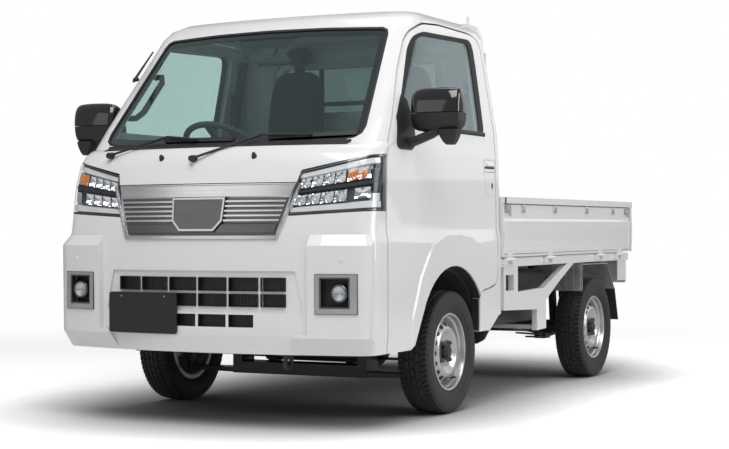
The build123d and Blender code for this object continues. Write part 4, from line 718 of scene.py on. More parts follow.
def build_grille():
    Shape().panel(grille_put, spread(-0.992, 0.992, 40), (0.918, 0.922, 0.966, 0.97), lipped(0.0035, -0.001),
                  -0.004).done("grille_band", SILVER)
    Shape().panel(grille_put, spread(-0.99, 0.99, 40), spread(0.772, 0.92, 3), -0.001, -0.004).done(
        "grille_back", DARK_SILVER)
    bars = Shape()
    for z in GRILLE_BARS:
        inner = BAR_INNER_X / grille_half(z)
        for ends in ((-BAR_END, -inner), (inner, BAR_END)):
            bars.panel(grille_put, spread(*ends, 18), (z - 0.0065, z - 0.0045, z + 0.0025, z + 0.0045),
                       lipped(0.0075, 0.002), -0.003)
    bars.done("grille_bars", SILVER)
    Shape().panel(grille_put, spread(-0.965, 0.965, 40), (0.776, 0.778, 0.812, 0.816), lipped(0.003, -0.001),
                  -0.003).done("grille_lower_band", DARK_SILVER)
    chrome = Shape().panel(on_front, spread(-0.355, 0.355, 30), (0.75, 0.754, 0.766, 0.772), lipped(0.009, 0.0),
                           -0.006)
    for s in (-1, 1):
        chrome.panel(lambda t, z, out: on_front(s * (0.346 + (z - 0.752) * 0.39 + t * 0.016), z, out),
                     (0, 0.3, 0.7, 1), spread(0.752, 0.972, 10), lambda i, j: 0.008 if 0 < i < 1 else 0.0, -0.006)
    chrome.done("grille_chrome", BRIGHT_GREY)
    border("badge_frame", shrunk(BADGE, -0.006), 0.008, on_front, BRIGHT_GREY, low=-0.002, high=0.0115)
    border("badge_line", shrunk(BADGE, -0.0085), 0.003, on_front, BLACK, low=-0.002, high=BADGE_OUT)
    Shape().loft([[on_front(x, z, out) for x, z in BADGE] for out in (-0.002, BADGE_OUT)]).done(
        "badge_plate", DARK_SILVER)


# the intake's rows of cells, columns: low, high, left, right; each lies just inside the bumper's cells
INTAKE_ROWS = ((0.547, 0.602, -0.4, 0.396), (0.485, 0.537, -0.4, 0.396), (0.405, 0.455, -0.25, 0.262))
INTAKE_POSTS = (-0.28, -0.14, 0.0, 0.14, 0.28)
POST_HALF = 0.0064
COLLAR = 0.0012
MESH_OUT = -0.024
FOG_OUT = (0.519, 0.68, 0.464, 0.616)
FOG_IN = (0.537, 0.655, 0.484, 0.605)
FOG_AT = (0.6135, 0.5425)
FOG_RADIUS = 0.034
FOG_RECESS = 0.0125
BUMPER_OUT = 0.028
# the fog lamp's parts, turned about Y, columns: name, finish, (along, radius) points, steps
FOG_PARTS = (
    ("fog_ring", DARK_SILVER, ((0.004, FOG_RADIUS + 0.001), (-0.003, FOG_RADIUS + 0.002),
                               (-0.006, FOG_RADIUS - 0.001), (-0.005, FOG_RADIUS - 0.006),
                               (0.004, FOG_RADIUS - 0.006)), 40),
    ("fog_reflector", BRIGHT_GREY, ((-0.0002, 0.001), (-0.001, 0.012), (-0.0035, 0.02), (-0.0045, 0.0275),
                                    (-0.0002, 0.0277)), 32),
    ("fog_lens", LENS, ((-0.0075, 0.0005), (-0.007, 0.012), (-0.0056, 0.022), (-0.0046, 0.0285), (-0.0052, 0.0285),
                        (-0.0062, 0.022), (-0.0076, 0.012), (-0.0081, 0.0005)), 32),
)
# plates, columns: name, middle x and z, face's y, way out, how far the rim stands out
PLATES = (("front", -0.255, 0.456, FRONT + 0.0006, -1, 0.0005), ("rear", 0.0, 0.526, REAR - 0.0387, 1, 0.0012))


def build_intakes():
    cells = Shape()
    for low, high, first, last in INTAKE_ROWS:
        low, high = low + 0.0004, high - 0.0004
        edges = [first] + [x for x in INTAKE_POSTS if first < x < last] + [last]
        for left, right in zip(edges, edges[1:]):
            left, right = left + POST_HALF, right - POST_HALF
            cells.panel(on_front, spread(left, right, 4), spread(low, high, 2), MESH_OUT, -0.0262)
            for x in spread(left + 0.006, right - 0.006, 8):
                cells.panel(on_front, (x - 0.0016, x + 0.0016), (low, high), -0.0225, MESH_OUT)
            for a0, a1, b0, b1 in ((left, left + COLLAR, low, high), (right - COLLAR, right, low, high),
                                   (left, right, low, low + COLLAR), (left, right, high - COLLAR, high)):
                cells.panel(on_front, spread(a0, a1, 4), (b0, b1), -0.0008, MESH_OUT)
    cells.done("intake_mesh", BLACK)


def build_fog_lamps():
    for name, side in SIDES:
        def put(x, z, out, side=side):
            return on_front(side * x, z, out + BUMPER_OUT)
        border(f"fog_bezel_{name}", rectangle(*FOG_OUT), 0.01, put, BRIGHT_GREY, low=-0.004, high=0.003, step=0.02,
               inner=rectangle(*FOG_IN))
        border(f"fog_bezel_inner_{name}", rectangle(*FOG_IN), 0.006, put, DARK_SILVER, low=-0.018, high=0.0015,
               step=0.02)
        border(f"fog_bezel_line_{name}", shrunk(rectangle(*FOG_OUT), -0.0018), 0.0024, put, BLACK, low=-0.004,
               high=0.0006, step=0.02)
        centre = (side * FOG_AT[0], on_front(*FOG_AT).y - FOG_RECESS, FOG_AT[1])
        for part, finish, profile, steps in FOG_PARTS:
            Shape().lathe(profile, centre, "Y", steps).done(f"{part}_{name}", finish)
        Shape().lathe([(-0.0018, 0.0008), (-0.0016, 0.007), (0.0, 0.0085), (0.004, 0.0085)],
                      on_front(side * 0.62, 0.672, BUMPER_OUT), "Y", 24).done(f"parking_sensor_{name}", PAINT)


def build_plates():
    for at, x, z, face, out, rim in PLATES:
        def put(a, b, h, face=face, out=out):
            return Vector((a, face + out * h, b))
        border(f"plate_rim_{at}", rectangle(x - 0.158, x + 0.158, z - 0.0755, z + 0.0755), 0.003, put, DARK_SILVER,
               low=-0.002, high=rim, radius=0.012)
        bolts = Shape()
        for s in (-1, 1):
            bolts.lathe([(out * 0.0001, 0.0005), (out * 0.0001, 0.0052), (-out * 0.006, 0.0055),
                         (-out * 0.006, 0.0005)], (x + s * 0.105, face, z + 0.0665), "Y", 6)
        bolts.done(f"plate_bolts_{at}", STEEL, angle=20)


def build_nose_details():
    nozzles = Shape()
    for x in (-0.22, 0.22):
        top, foot = on_front(x, 1.086, 0.012), on_front(x, 1.08, -0.003)
        ring = [Vector((0.013 * c, 0.006 * s, 0.013 * s)) for c, s in circle(12)]
        nozzles.loft([[foot + p for p in ring], [top + p * 0.62 for p in ring]])
    nozzles.done("washer_nozzles", BLACK)
    antenna = Shape().tube([(-0.576, -1.3, 1.44), (-0.577, -1.282, 1.457), (-0.588, -1.132, 1.586)],
                           [0.006, 0.006, 0.0035])
    antenna.tube([(-0.574, -1.296, 1.448), (-0.574, -1.272, 1.452)], 0.009).done("antenna", BLACK)
    caps = Shape()
    for x, z in ((-0.505, 1.103), (-0.053, 1.079)):
        caps.lathe([(-0.03, 0.0008), (-0.03, 0.0104), (-0.024, 0.013), (-0.006, 0.015), (-0.002, 0.015)],
                   on_front(x, z), "Y", 20)
    caps.done("wiper_caps", BLACK)


# ---------------- wheel arches and door handles
ARCH_RADIUS = 0.3682
ARCH_SPAN = (43, 151)
ARCH_FOOT = (AXLE_F + 0.2894, 0.4835)
FACING_NEAR = HALF - 0.0075
FACING_DEEP = HALF - 0.046
FACING_THICK = 0.001


def build_arch_liners():
    """A ribbed lining behind the front wheel, and the dark facing on the arch's thickness, which rides on the door."""
    run = [ARCH_FOOT] + [(AXLE_F + ARCH_RADIUS * math.cos(a), WHEEL_Z + ARCH_RADIUS * math.sin(a))
                         for a in map(math.radians, spread(*ARCH_SPAN, 48))]
    for name, side in SIDES:
        lining = Shape().box((0.688, -0.515, 0.338), (0.7245, -0.5128, 0.48), bevel=0.0005)
        for z in (0.365, 0.395, 0.425, 0.455):
            lining.box((0.69, -0.518, z - 0.004), (0.722, -0.5145, z + 0.004), bevel=0.0012)
        lining.done(f"arch_lining_{name}", LINER, mirrored=side < 0)
        rows = [[Vector((side * x, y - inset * (y - AXLE_F) / ARCH_RADIUS, z - inset * (z - WHEEL_Z) / ARCH_RADIUS))
                 for y, z in run] for x, inset in ((FACING_NEAR, 0), (FACING_DEEP, 0), (FACING_DEEP, FACING_THICK),
                                                   (FACING_NEAR, FACING_THICK), (FACING_NEAR, 0))]
        facing = Shape().sheet(rows, weld=1e-7)
        bmesh.ops.holes_fill(facing.bm, edges=facing.bm.edges[:])
        facing.done(f"arch_facing_{name}", LINER, f"door_{name}")


def build_doors():
    grip = [(-0.4475, 1.107), (-0.4475, 1.03), (-0.425, 0.945), (-0.3135, 0.94), (-0.3095, 1.107)]
    for name, side in SIDES:
        body = f"door_{name}"
        put = side_put(side)
        border(f"handle_surround_{name}", eased(grip, 0.03), 0.005, put, PAINT, body, low=-0.001, high=0.0014)
        border(f"handle_gap_{name}", rectangle(-0.4435, -0.3135, 1.045, 1.103), 0.002, put, BLACK, body, low=-0.002,
               high=0.0006, radius=0.014)
        Shape().panel(put, spread(-0.437, -0.32, 8), (1.07, 1.074, 1.092, 1.098), lipped(0.007, 0.001, True),
                      -0.002).done(f"handle_flap_{name}", PAINT, body, angle=50)
        Shape().panel(put, spread(-0.436, -0.321, 6), (1.0605, 1.0695), 0.0009, -0.002).done(
            f"handle_slot_{name}", BLACK, body)
        lock = Shape().lathe([(side * 0.0015, 0.0005), (side * 0.0015, 0.007), (-side * 0.002, 0.009)],
                             put(-0.3505, 0.984), "X", 24)
        lock.panel(put, (-0.3545, -0.3465), (0.972, 0.996), 0.0028, 0.0).done(f"door_lock_{name}", BLACK, body)


# ---------------- mirrors
MIRROR_X = (0.732, 0.946)
MIRROR_Y = (FRONT + 0.447, FRONT + 0.54)
MIRROR_Z = (1.18, 1.361)
MIRROR_MIDDLE = (MIRROR_Y[0] + MIRROR_Y[1]) / 2
MIRROR_DEEP = (MIRROR_Y[1] - MIRROR_Y[0]) / 2
MIRROR_SPLIT = 0.44
SPLIT_GAP = 0.0025
ROUNDNESS = 3.4
# the housing's sections, columns: share of its width outboard, scale of its front
HEAD_ROWS = ((0.0, 0.5), (0.02, 0.66), (0.06, 0.79), (0.12, 0.88), (0.22, 0.955), (0.4, 0.99), (0.6, 1.0),
             (0.78, 0.985), (0.89, 0.94), (0.955, 0.85), (0.985, 0.74), (1.0, 0.58))
# the arm's sections, columns: x, z, half its depth
ARM_ROWS = ((0.7, 1.136, 0.034), (0.735, 1.146, 0.034), (0.775, 1.16, 0.032), (0.82, 1.176, 0.026),
            (0.845, 1.19, 0.018))
# the lobe under the housing, columns: z, x from, x to, half its depth
LOBE_ROWS = ((1.19, 0.85, 0.936, 0.036), (1.165, 0.856, 0.93, 0.034), (1.142, 0.868, 0.922, 0.028),
             (1.129, 0.88, 0.914, 0.02))
LOBE_CORNER = 0.018


def mirror_head(shrink=0.0):
    """Rounded housing as rings along X, fuller towards its outboard end."""
    low, high = MIRROR_Z
    rings = []
    for t, scale in HEAD_ROWS:
        ring = []
        for c, s in circle(28):
            r = 1 / (abs(c) ** ROUNDNESS + abs(s) ** ROUNDNESS) ** (1 / ROUNDNESS)
            y = c * r * (MIRROR_DEEP - shrink)
            if c < 0:
                y *= scale * (1 - 0.42 * s**2)
            z = (low + high) / 2 + s * r * ((high - low) / 2 - shrink) * (0.38 + 0.62 * scale)
            ring.append(Vector((MIRROR_X[0] + (MIRROR_X[1] - MIRROR_X[0]) * t, MIRROR_MIDDLE + y, z)))
        rings.append(ring)
    return rings


def build_mirrors():
    low, high = MIRROR_Z
    cut = low + (high - low) * MIRROR_SPLIT
    back = MIRROR_Y[1] - 0.0015
    glass = rounded(rectangle(MIRROR_X[0] + 0.017, MIRROR_X[1] - 0.012, low + 0.014, high - 0.012), 0.02)
    for name, side in SIDES:
        body = f"door_{name}"
        head = Shape().loft(mirror_head()).split(cut, keep_above=True).done(
            f"mirror_cap_{name}", GLOSS_BLACK, body, angle=40, mirrored=side < 0)
        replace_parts(head, f"mirror_{name}")
        base = Shape().loft(mirror_head(0.0015)).split(cut, keep_above=False).split(cut - SPLIT_GAP, keep_above=False)
        base.loft([[Vector((x, MIRROR_MIDDLE + half * c, z + 0.02 * s)) for c, s in circle(16)]
                   for x, z, half in ARM_ROWS])
        lobe = [(z, rounded(rectangle(x0, x1, MIRROR_MIDDLE - half, MIRROR_MIDDLE + half), LOBE_CORNER))
                for z, x0, x1, half in LOBE_ROWS]
        base.loft([[Vector((x, y, z)) for x, y in outline] for z, outline in lobe])
        base.done(f"mirror_base_{name}", BLACK, body, angle=40, mirrored=side < 0)
        Shape().loft([[Vector((x, back + out, z)) for x, z in glass] for out in (-0.004, 0.0008)]).done(
            f"mirror_glass_{name}", MIRROR, body, mirrored=side < 0)


# ---------------- wheels
TYRE_RADIUS = 0.264
TREAD_HALF = 0.056
TREAD_STEPS = 420
CROWN_DROP = 0.0042
GROOVES = (-0.034, -0.0115, 0.0115, 0.034)
GROOVE_HALF = 0.0022
GROOVE_DEPTH = 0.0062
SHOULDER_RADIUS = 0.246
# tread blocks for the five ribs from one side to the other, columns: pitch in steps, shift, sipe's width, depth
TREAD_RIBS = ((6, 0, 1.9, 0.006), (10, 4, 1.7, 0.0048), (10, 7, 1.7, 0.0048), (10, 2, 1.7, 0.0048),
              (6, 3, 1.9, 0.006))
SIPE_SLANT = 110
# a tyre's side, columns: out from its middle plane, radius
TYRE_SIDE = ((0.047, 0.1575), (0.052, 0.1585), (0.055, 0.166), (0.058, 0.17), (0.0572, 0.1722),
             (0.062, 0.18), (0.0672, 0.195), (0.069, 0.1962), (0.069, 0.199), (0.0705, 0.206),
             (0.0724, 0.218), (0.0728, 0.228), (0.0716, 0.239), (0.0722, 0.24), (0.0706, 0.247),
             (0.0668, 0.254), (0.062, 0.2592))


def tread_cut(k, w):
    """How deep the tread is cut at step k round the tyre, w from its middle plane."""
    pitch, shift, width, depth = TREAD_RIBS[sum(w > groove for groove in GROOVES)]
    sipe = depth if (k + shift + abs(w) * SIPE_SLANT) % pitch < width else 0.0
    return max(sipe, GROOVE_DEPTH if min(abs(w - groove) for groove in GROOVES) < GROOVE_HALF else 0.0)


def tyre_rows():
    """Tyre section turned about the X axis, with grooves and blocks cut into its tread."""
    crown = [(w, TYRE_RADIUS - CROWN_DROP * (abs(w) / TREAD_HALF) ** 2.4, True)
             for w in spread(-TREAD_HALF, TREAD_HALF, 38)]
    profile = [(-w, r, False) for w, r in TYRE_SIDE] + crown + [(w, r, False) for w, r in reversed(TYRE_SIDE)]
    rows = []
    for k, (c, s) in enumerate(circle(TREAD_STEPS)):
        row = []
        for w, r, is_tread in profile:
            if is_tread:
                r -= tread_cut(k, w)
            elif r > SHOULDER_RADIUS and k % 6 < 2:
                r -= 0.003
            row.append((w, r * c, r * s))
        rows.append(row)
    return rows


# the wheel's parts, columns: out from its middle plane (or from the disc's face), radius
RIM_BARREL = (
    (0.057, 0.1668), (0.059, 0.1662), (0.0606, 0.164), (0.0606, 0.159), (0.0588, 0.1568), (0.054, 0.1552),
    (0.042, 0.1528), (0.034, 0.145), (0.015, 0.142), (-0.056, 0.143), (-0.0605, 0.15), (-0.0605, 0.1645),
    (-0.0575, 0.1668), (-0.056, 0.16), (-0.045, 0.1555), (0.045, 0.1562), (0.054, 0.16), (0.057, 0.1668),
)
RIM_DISC = (
    (0.033, 0.0008), (0.033, 0.058), (0.0335, 0.064), (0.037, 0.072), (0.045, 0.083), (0.0495, 0.089),
    (0.0515, 0.0945), (0.051, 0.0995), (0.0475, 0.1065), (0.027, 0.1275), (0.019, 0.1335), (0.013, 0.1425),
    (0.008, 0.1425), (0.014, 0.132), (0.025, 0.124), (0.043, 0.106), (0.047, 0.098), (0.044, 0.09),
    (0.029, 0.066), (0.0285, 0.0008),
)
HUB_CUP = ((-0.002, 0.0362), (0.017, 0.0355), (0.019, 0.033), (0.02, 0.03), (0.0185, 0.029),
           (0.0178, 0.0008), (-0.002, 0.0008))
HUB_CAP = ((0.017, 0.0008), (0.027, 0.0008), (0.0265, 0.014), (0.025, 0.0215), (0.022, 0.0255), (0.017, 0.0262))
NUT = ((-0.001, 0.0005), (-0.001, 0.012), (0.005, 0.012), (0.007, 0.01), (0.015, 0.0096), (0.0175, 0.0065),
       (0.018, 0.0005))
RIM_CONE = ((0.0475, 0.1065), (0.027, 0.1275))
# the disc's holes, drawn as black discs of painted shade
VENTS = 16
VENT_RADIUS = 0.0122
DISC_FACE = 0.033
NUTS = 4
NUT_CIRCLE = 0.05
VALVE_ANGLE = math.radians(-60)


def painted_vent_shade_rings(centre, side, c, s):
    """A black disc of painted shade where one hole in the disc's cone is, at the turn whose cosine and sine are c and
    s.
    """
    (a0, r0), (a1, r1) = RIM_CONE
    down = Vector((side * (a1 - a0), r1 - r0, 0)).normalized()
    out, around = Vector((0, c, s)), Vector((0, -s, c))
    along = Vector((down.x, 0, 0)) + out * down.y
    normal = around.cross(along) * side
    normal = normal if normal.x * side > 0 else -normal
    middle = Vector(centre) + Vector((side * (a0 + a1) / 2, 0, 0)) + out * ((r0 + r1) / 2)
    return [[middle + normal * h + (around * u + along * v) * VENT_RADIUS for u, v in circle(20)]
            for h in (-0.003, 0.0008)]


def build_wheels():
    tyre = tyre_rows()
    for axle, y in (("front", AXLE_F), ("rear", AXLE_R)):
        for name, side in SIDES:
            at = f"{axle}_{name}"
            low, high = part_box(f"tyre_{at}")
            x = (low.x + high.x) / 2
            body = f"wheel_{at}"
            centre = (x, y, WHEEL_Z)
            face = (x + side * DISC_FACE, y, WHEEL_Z)

            def turned(shape, profile, middle, steps, side=side):
                return shape.lathe([(side * along, radius) for along, radius in profile], middle, "X", steps)
            rows = [[(x + out, y + ahead, WHEEL_Z + up) for out, ahead, up in row] for row in tyre]
            tread = Shape().sheet(rows + rows[:1], closed=True, weld=1e-7).done(f"tread_{at}", TYRE, body, angle=30)
            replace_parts(tread, f"tyre_{at}")
            rim = turned(turned(Shape(), RIM_BARREL, centre, 72), RIM_DISC, centre, 72)
            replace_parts(rim.done(f"steel_rim_{at}", STEEL, body, angle=30), f"rim_{at}")
            # Black discs on the disc's cone are painted shade where its holes are; the lathed disc itself has no holes.
            painted_vent_shades = Shape()
            for c, s in circle(VENTS):
                painted_vent_shades.loft(painted_vent_shade_rings(centre, side, c, s))
            painted_vent_shades.done(f"vents_{at}", BLACK, body, angle=40)
            turned(turned(Shape(), HUB_CUP, face, 48), HUB_CAP, face, 40).done(f"hub_cap_{at}", BLACK, body, angle=25)
            nuts = Shape()
            for k in range(NUTS):
                a = math.pi / 4 + k * math.pi / 2
                turned(nuts, NUT, (face[0], y + NUT_CIRCLE * math.cos(a), WHEEL_Z + NUT_CIRCLE * math.sin(a)), 6)
            nuts.done(f"wheel_nuts_{at}", CAST, body, angle=25)
            valve = [(x + side * out, y + r * math.cos(VALVE_ANGLE), WHEEL_Z + r * math.sin(VALVE_ANGLE))
                     for out, r in ((0.029, 0.138), (0.055, 0.131))]
            Shape().tube(valve, 0.0042).done(f"valve_{at}", RUBBER, body, angle=40)


# ---------------- bed
BED_FLOOR_Z = 0.655
WELL_FRONT = AXLE_R - 0.217
GATE_LOW = BED_FLOOR_Z + 0.005
GATE_TOP = GATE_LOW + 0.278
GATE_Y = (CAB_REAR + 0.016, REAR - 0.028)
GATE_OUT = 0.7325
GATE_IN = 0.7045
BEAD_X = 0.7295
HOOK_SHARES = (0.13, 0.36, 0.61, 0.84)
HOOK_HALF = 0.012
ROD = 0.0042
LAMP_PANEL = REAR - 0.044


def build_bed():
    ribs = Shape()
    for x in spread(-0.63, 0.63, 14):
        ribs.box((x - 0.022, GATE_Y[0] + 0.05, BED_FLOOR_Z - 0.002), (x + 0.022, REAR - 0.045, BED_FLOOR_Z + 0.0022),
                 bevel=0.0018)
    ribs.done("bed_floor_ribs", PAINT)
    for name, side in SIDES:
        def finish(shape, stem, material, side=side, name=name):
            shape.done(f"{stem}_{name}", material, f"gate_{name}", mirrored=side < 0)
        ribs = Shape()
        for y in spread(GATE_Y[0] + 0.12, GATE_Y[1] - 0.12, 9):
            ribs.box((GATE_IN - 0.004, y - 0.03, GATE_LOW + 0.02), (GATE_IN + 0.004, y + 0.03, GATE_TOP - 0.035),
                     bevel=0.003)
        finish(ribs, "gate_inner_ribs", PAINT)
        hooks = Shape()
        z = GATE_TOP - 0.04
        near, far = GATE_OUT - 0.01, GATE_OUT - 0.001
        for share in HOOK_SHARES:
            y = GATE_Y[0] + share * (GATE_Y[1] - GATE_Y[0])
            y0, y1 = y - HOOK_HALF, y + HOOK_HALF
            hooks.tube([(near, y0, z), (far, y0, z - 0.004), (far, y0, z - 0.022), (far, y, z - 0.03),
                        (far, y1, z - 0.022), (far, y1, z - 0.004), (near, y1, z)], ROD, 8)
        finish(hooks, "rope_hooks", ZINC)
        latches = Shape()
        z = GATE_TOP - 0.052
        near, far = GATE_OUT - 0.004, GATE_OUT - 0.002
        for y0, y1 in ((GATE_Y[0] + 0.022, GATE_Y[0] + 0.088), (GATE_Y[1] - 0.088, GATE_Y[1] - 0.022)):
            latches.box((GATE_OUT - 0.011, y0, z - 0.022), (GATE_OUT - 0.0035, y1, z + 0.014), bevel=0.002)
            latches.tube([(near, y0 + 0.012, z + 0.004), (far, y0 + 0.012, z - 0.004), (far, (y0 + y1) / 2, z - 0.01),
                          (far, y1 - 0.008, z - 0.034)], ROD, 8)
        finish(latches, "gate_latches", ZINC)
        bead = rectangle(GATE_Y[0] + 0.03, GATE_Y[1] - 0.03, GATE_LOW + 0.05, GATE_LOW + 0.162)
        border(f"gate_bead_{name}", bead, 0.005, lambda y, z, out, side=side: Vector((side * (BEAD_X + out), y, z)),
               PAINT, f"gate_{name}", low=-0.001, high=0.0016, radius=0.012)
        # Thin dark lines of painted shadow stand in for the grooves of the gate's pressed panel, which are not cut.
        for level, x, z in (("upper", 0.7245, GATE_TOP - 0.0335), ("lower", 0.7235, GATE_LOW + 0.012)):
            line = Shape().box((x - 0.001, GATE_Y[0] + 0.006, z - 0.0012),
                               (x + 0.0006, GATE_Y[1] - 0.006, z + 0.0012))
            finish(line, f"gate_line_{level}", PAINTED_CREASE_SHADE)
        y = GATE_Y[0] + 0.01
        stop = Shape().box((GATE_IN + 0.002, y - 0.008, GATE_TOP - 0.03),
                           (GATE_OUT + 0.0005, y + 0.01, GATE_TOP - 0.002), bevel=0.003)
        finish(stop, "gate_stop", RUBBER)


def build_rear():
    lens = (LAMP_PANEL + 0.024, LAMP_PANEL + 0.0295)
    for name, side in SIDES:
        ribs = Shape()
        for x in (0.58, 0.622, 0.664, 0.702):
            ribs.box((x - 0.009, WELL_FRONT - 0.004, 0.47), (x + 0.009, WELL_FRONT + 0.0005, 0.604), bevel=0.003)
        ribs.done(f"fender_ribs_{name}", ZINC, mirrored=side < 0)
        Shape().box((0.528, lens[0], 0.508), (0.58, lens[1], 0.582), bevel=0.002).done(
            f"tail_indicator_{name}", AMBER, mirrored=side < 0)
        Shape().box((0.634, lens[0], 0.508), (0.682, lens[1], 0.542), bevel=0.002).done(
            f"reverse_lamp_{name}", WHITE_LENS, mirrored=side < 0)
        border(f"tail_lamp_frame_{name}", rectangle(0.516, 0.694, 0.496, 0.594), 0.006,
               lambda a, b, out, side=side: Vector((side * a, LAMP_PANEL + out, b)), BLACK, low=0.001, high=0.0305,
               radius=0.01)
        z = GATE_TOP - 0.085
        latch = Shape().box((0.64, REAR - 0.016, z - 0.02), (0.7, REAR - 0.003, z + 0.016), bevel=0.002)
        latch.tube([(0.65, REAR - 0.0055, z + 0.004), (0.672, REAR - 0.0045, z - 0.008),
                    (0.694, REAR - 0.0045, z - 0.034)], 0.004, 8)
        latch.done(f"tail_latch_{name}", CAST, "tailgate", mirrored=side < 0)


# ---------------- cabin
SEATS = (("driver", -0.272), ("passenger", 0.3))
WHEEL_SIDE_X = SEATS[0][1]
CUSHION_CUTS = 15
SEAM_DEPTH = 0.09
SEAM_WIDTH = 0.028
ROLL_AT = 0.42
# the hood over the instruments, columns: y, low, high, half width
HOOD_ROWS = ((-1.47, 1.105, 1.12, 0.15), (-1.43, 1.105, 1.146, 0.18), (-1.37, 1.105, 1.164, 0.19),
             (-1.325, 1.09, 1.16, 0.19), (-1.322, 0.99, 1.14, 0.185), (-1.334, 0.98, 1.1, 0.18))
DASH_REAR = FRONT + 0.357


def pillow(name, half, place, crown=0.12, pull=0.02, power=5.0, taper=0.0, seams=(), rolls=0.0):
    """A padded form: rounded box with crowned faces, sides drawn in between its corners and sewn lines."""
    shape = Shape()
    bmesh.ops.create_cube(shape.bm, size=2.0)
    bmesh.ops.subdivide_edges(shape.bm, edges=shape.bm.edges[:], cuts=CUSHION_CUTS, use_grid_fill=True)
    for vert in shape.bm.verts:
        u, v, w = vert.co
        scale = 1 / (abs(u) ** power + abs(v) ** power + abs(w) ** power) ** (1 / power)
        u, v, w = u * scale, v * scale, w * scale
        flat = 1 - crown + crown * (1 - u * u) * (1 - v * v)
        if rolls:
            flat -= rolls * max(0.0, 1 - ((abs(u) - ROLL_AT) / ROLL_AT) ** 2) * (1 - abs(w) * 0.2)
        for axis, line in seams:
            at = u if axis == "u" else v
            flat -= SEAM_DEPTH * math.exp(-(((abs(at) if line > 0 else at) - abs(line)) / SEAM_WIDTH) ** 2)
        narrow = 1 - taper * max(0.0, (v - 0.1) / 0.9) ** 2
        vert.co = place @ Vector((u * half[0] * (1 - pull * (1 - v * v)) * narrow,
                                  v * half[1] * (1 - pull * (1 - u * u)), w * half[2] * flat))
    piece = shape.done(name, CLOTH, angle=180)
    smooth = piece.modifiers.new("soft", "SUBSURF")
    smooth.levels = 1
    smooth.render_levels = 1
    return piece


def build_seats():
    for name, x in SEATS:
        cushion = pillow(f"seat_cushion_{name}", (0.233, 0.267, 0.064), Matrix.Translation((x, -0.645, 0.755)),
                         seams=(("u", 0.62), ("v", -0.55)), rolls=0.05)
        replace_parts(cushion, f"seat_{name}")
        low, high = Vector((x, -0.438, 0.826)), Vector((x, -0.366, 1.553))
        along = (high - low).normalized()
        across = Vector((1, 0, 0))
        turn = Matrix((across, along, across.cross(along))).transposed().to_4x4()
        pillow(f"seat_back_{name}", (0.142, 0.362, 0.052), Matrix.Translation((low + high) / 2) @ turn, power=5.5,
               taper=0.16, seams=(("u", 0.6), ("v", 0.45)), rolls=0.06)
        pillow(f"headrest_{name}", (0.066, 0.045, 0.037),
               Matrix.Translation((x, -0.355, 1.622)) @ Matrix.Rotation(math.pi / 2, 4, "X"), crown=0.1, pull=0.03,
               power=3.2)
        seat = Shape().box((x - 0.024, -0.366, 1.525), (x + 0.024, -0.346, 1.6), bevel=0.006)
        seat.box((x - 0.2, -0.86, 0.6905), (x + 0.2, -0.43, 0.702), bevel=0.003)
        for s in (-1, 1):
            seat.box((x + s * 0.205 - 0.012, -0.5, 0.72), (x + s * 0.205 + 0.012, -0.405, 0.87), bevel=0.008)
        seat.done(f"seat_frame_{name}", CABIN)


def build_dash():
    rings = []
    for y, low, high, half in HOOD_ROWS:
        outline = rounded(rectangle(WHEEL_SIDE_X - half, WHEEL_SIDE_X + half, low, high), 0.02, 3)
        rings.append([Vector((x, y, z)) for x, z in outline])
    Shape().loft(rings).done("instrument_hood", CABIN, angle=50)
    panels = Shape().box((-0.425, DASH_REAR + 0.012, 1.01), (-0.119, DASH_REAR + 0.0225, 1.128), bevel=0.004)
    panels.box((-0.055, DASH_REAR - 0.002, 0.985), (0.145, DASH_REAR + 0.01, 1.085), bevel=0.003)
    for x in (-0.63, 0.17, 0.55):
        for z in [1.045 + k * 0.011 for k in range(5)]:
            panels.box((x, DASH_REAR - 0.002, z), (x + 0.075, DASH_REAR + 0.008, z + 0.005), bevel=0.001)
    panels.done("dash_panels", GLOSS_BLACK)
    controls = Shape().box((-0.07, DASH_REAR - 0.003, 0.875), (0.16, DASH_REAR + 0.006, 0.975), bevel=0.006)
    controls.box((0.2, DASH_REAR - 0.003, 0.88), (0.62, DASH_REAR + 0.005, 1.005), bevel=0.008)
    for k in range(3):
        controls.lathe([(0.0, 0.0005), (0.0, 0.022), (0.014, 0.019), (0.016, 0.0005)],
                       (-0.02 + k * 0.065, DASH_REAR + 0.006, 0.925), "Y", 24)
    controls.done("dash_controls", CABIN)


def build_levers():
    levers = Shape().tube([(0.0, -1.1, 0.69), (0.0, -1.108, 0.8), (-0.004, -1.125, 0.885)], 0.007)
    levers.lathe([(-0.022, 0.0005), (-0.018, 0.014), (0.0, 0.023), (0.018, 0.018), (0.024, 0.0005)],
                 (-0.004, -1.127, 0.905), "Z", 24)
    levers.lathe([(0.0, 0.052), (0.012, 0.046), (0.05, 0.018), (0.055, 0.0005), (0.0, 0.0005)],
                 (0.0, -1.1, 0.69), "Z", 24)
    levers.tube([(0.02, -0.8, 0.7), (0.02, -0.93, 0.735), (0.02, -0.99, 0.745)], [0.012, 0.012, 0.014])
    levers.done("levers", CABIN, angle=50)
    pedals = Shape()
    for x, half in ((-0.375, 0.035), (-0.275, 0.035), (-0.195, 0.024)):
        at = Matrix.Translation((x, -1.405, 0.47)) @ Matrix.Rotation(math.radians(-28), 4, "X")
        pedals.box((-half, -0.006, -0.032), (half, 0.006, 0.032), bevel=0.003, at=at)
        pedals.tube([(x, -1.411, 0.47), (x, -1.45, 0.6), (x, -1.44, 0.868)], 0.006)
    pedals.done("pedals", BLACK)


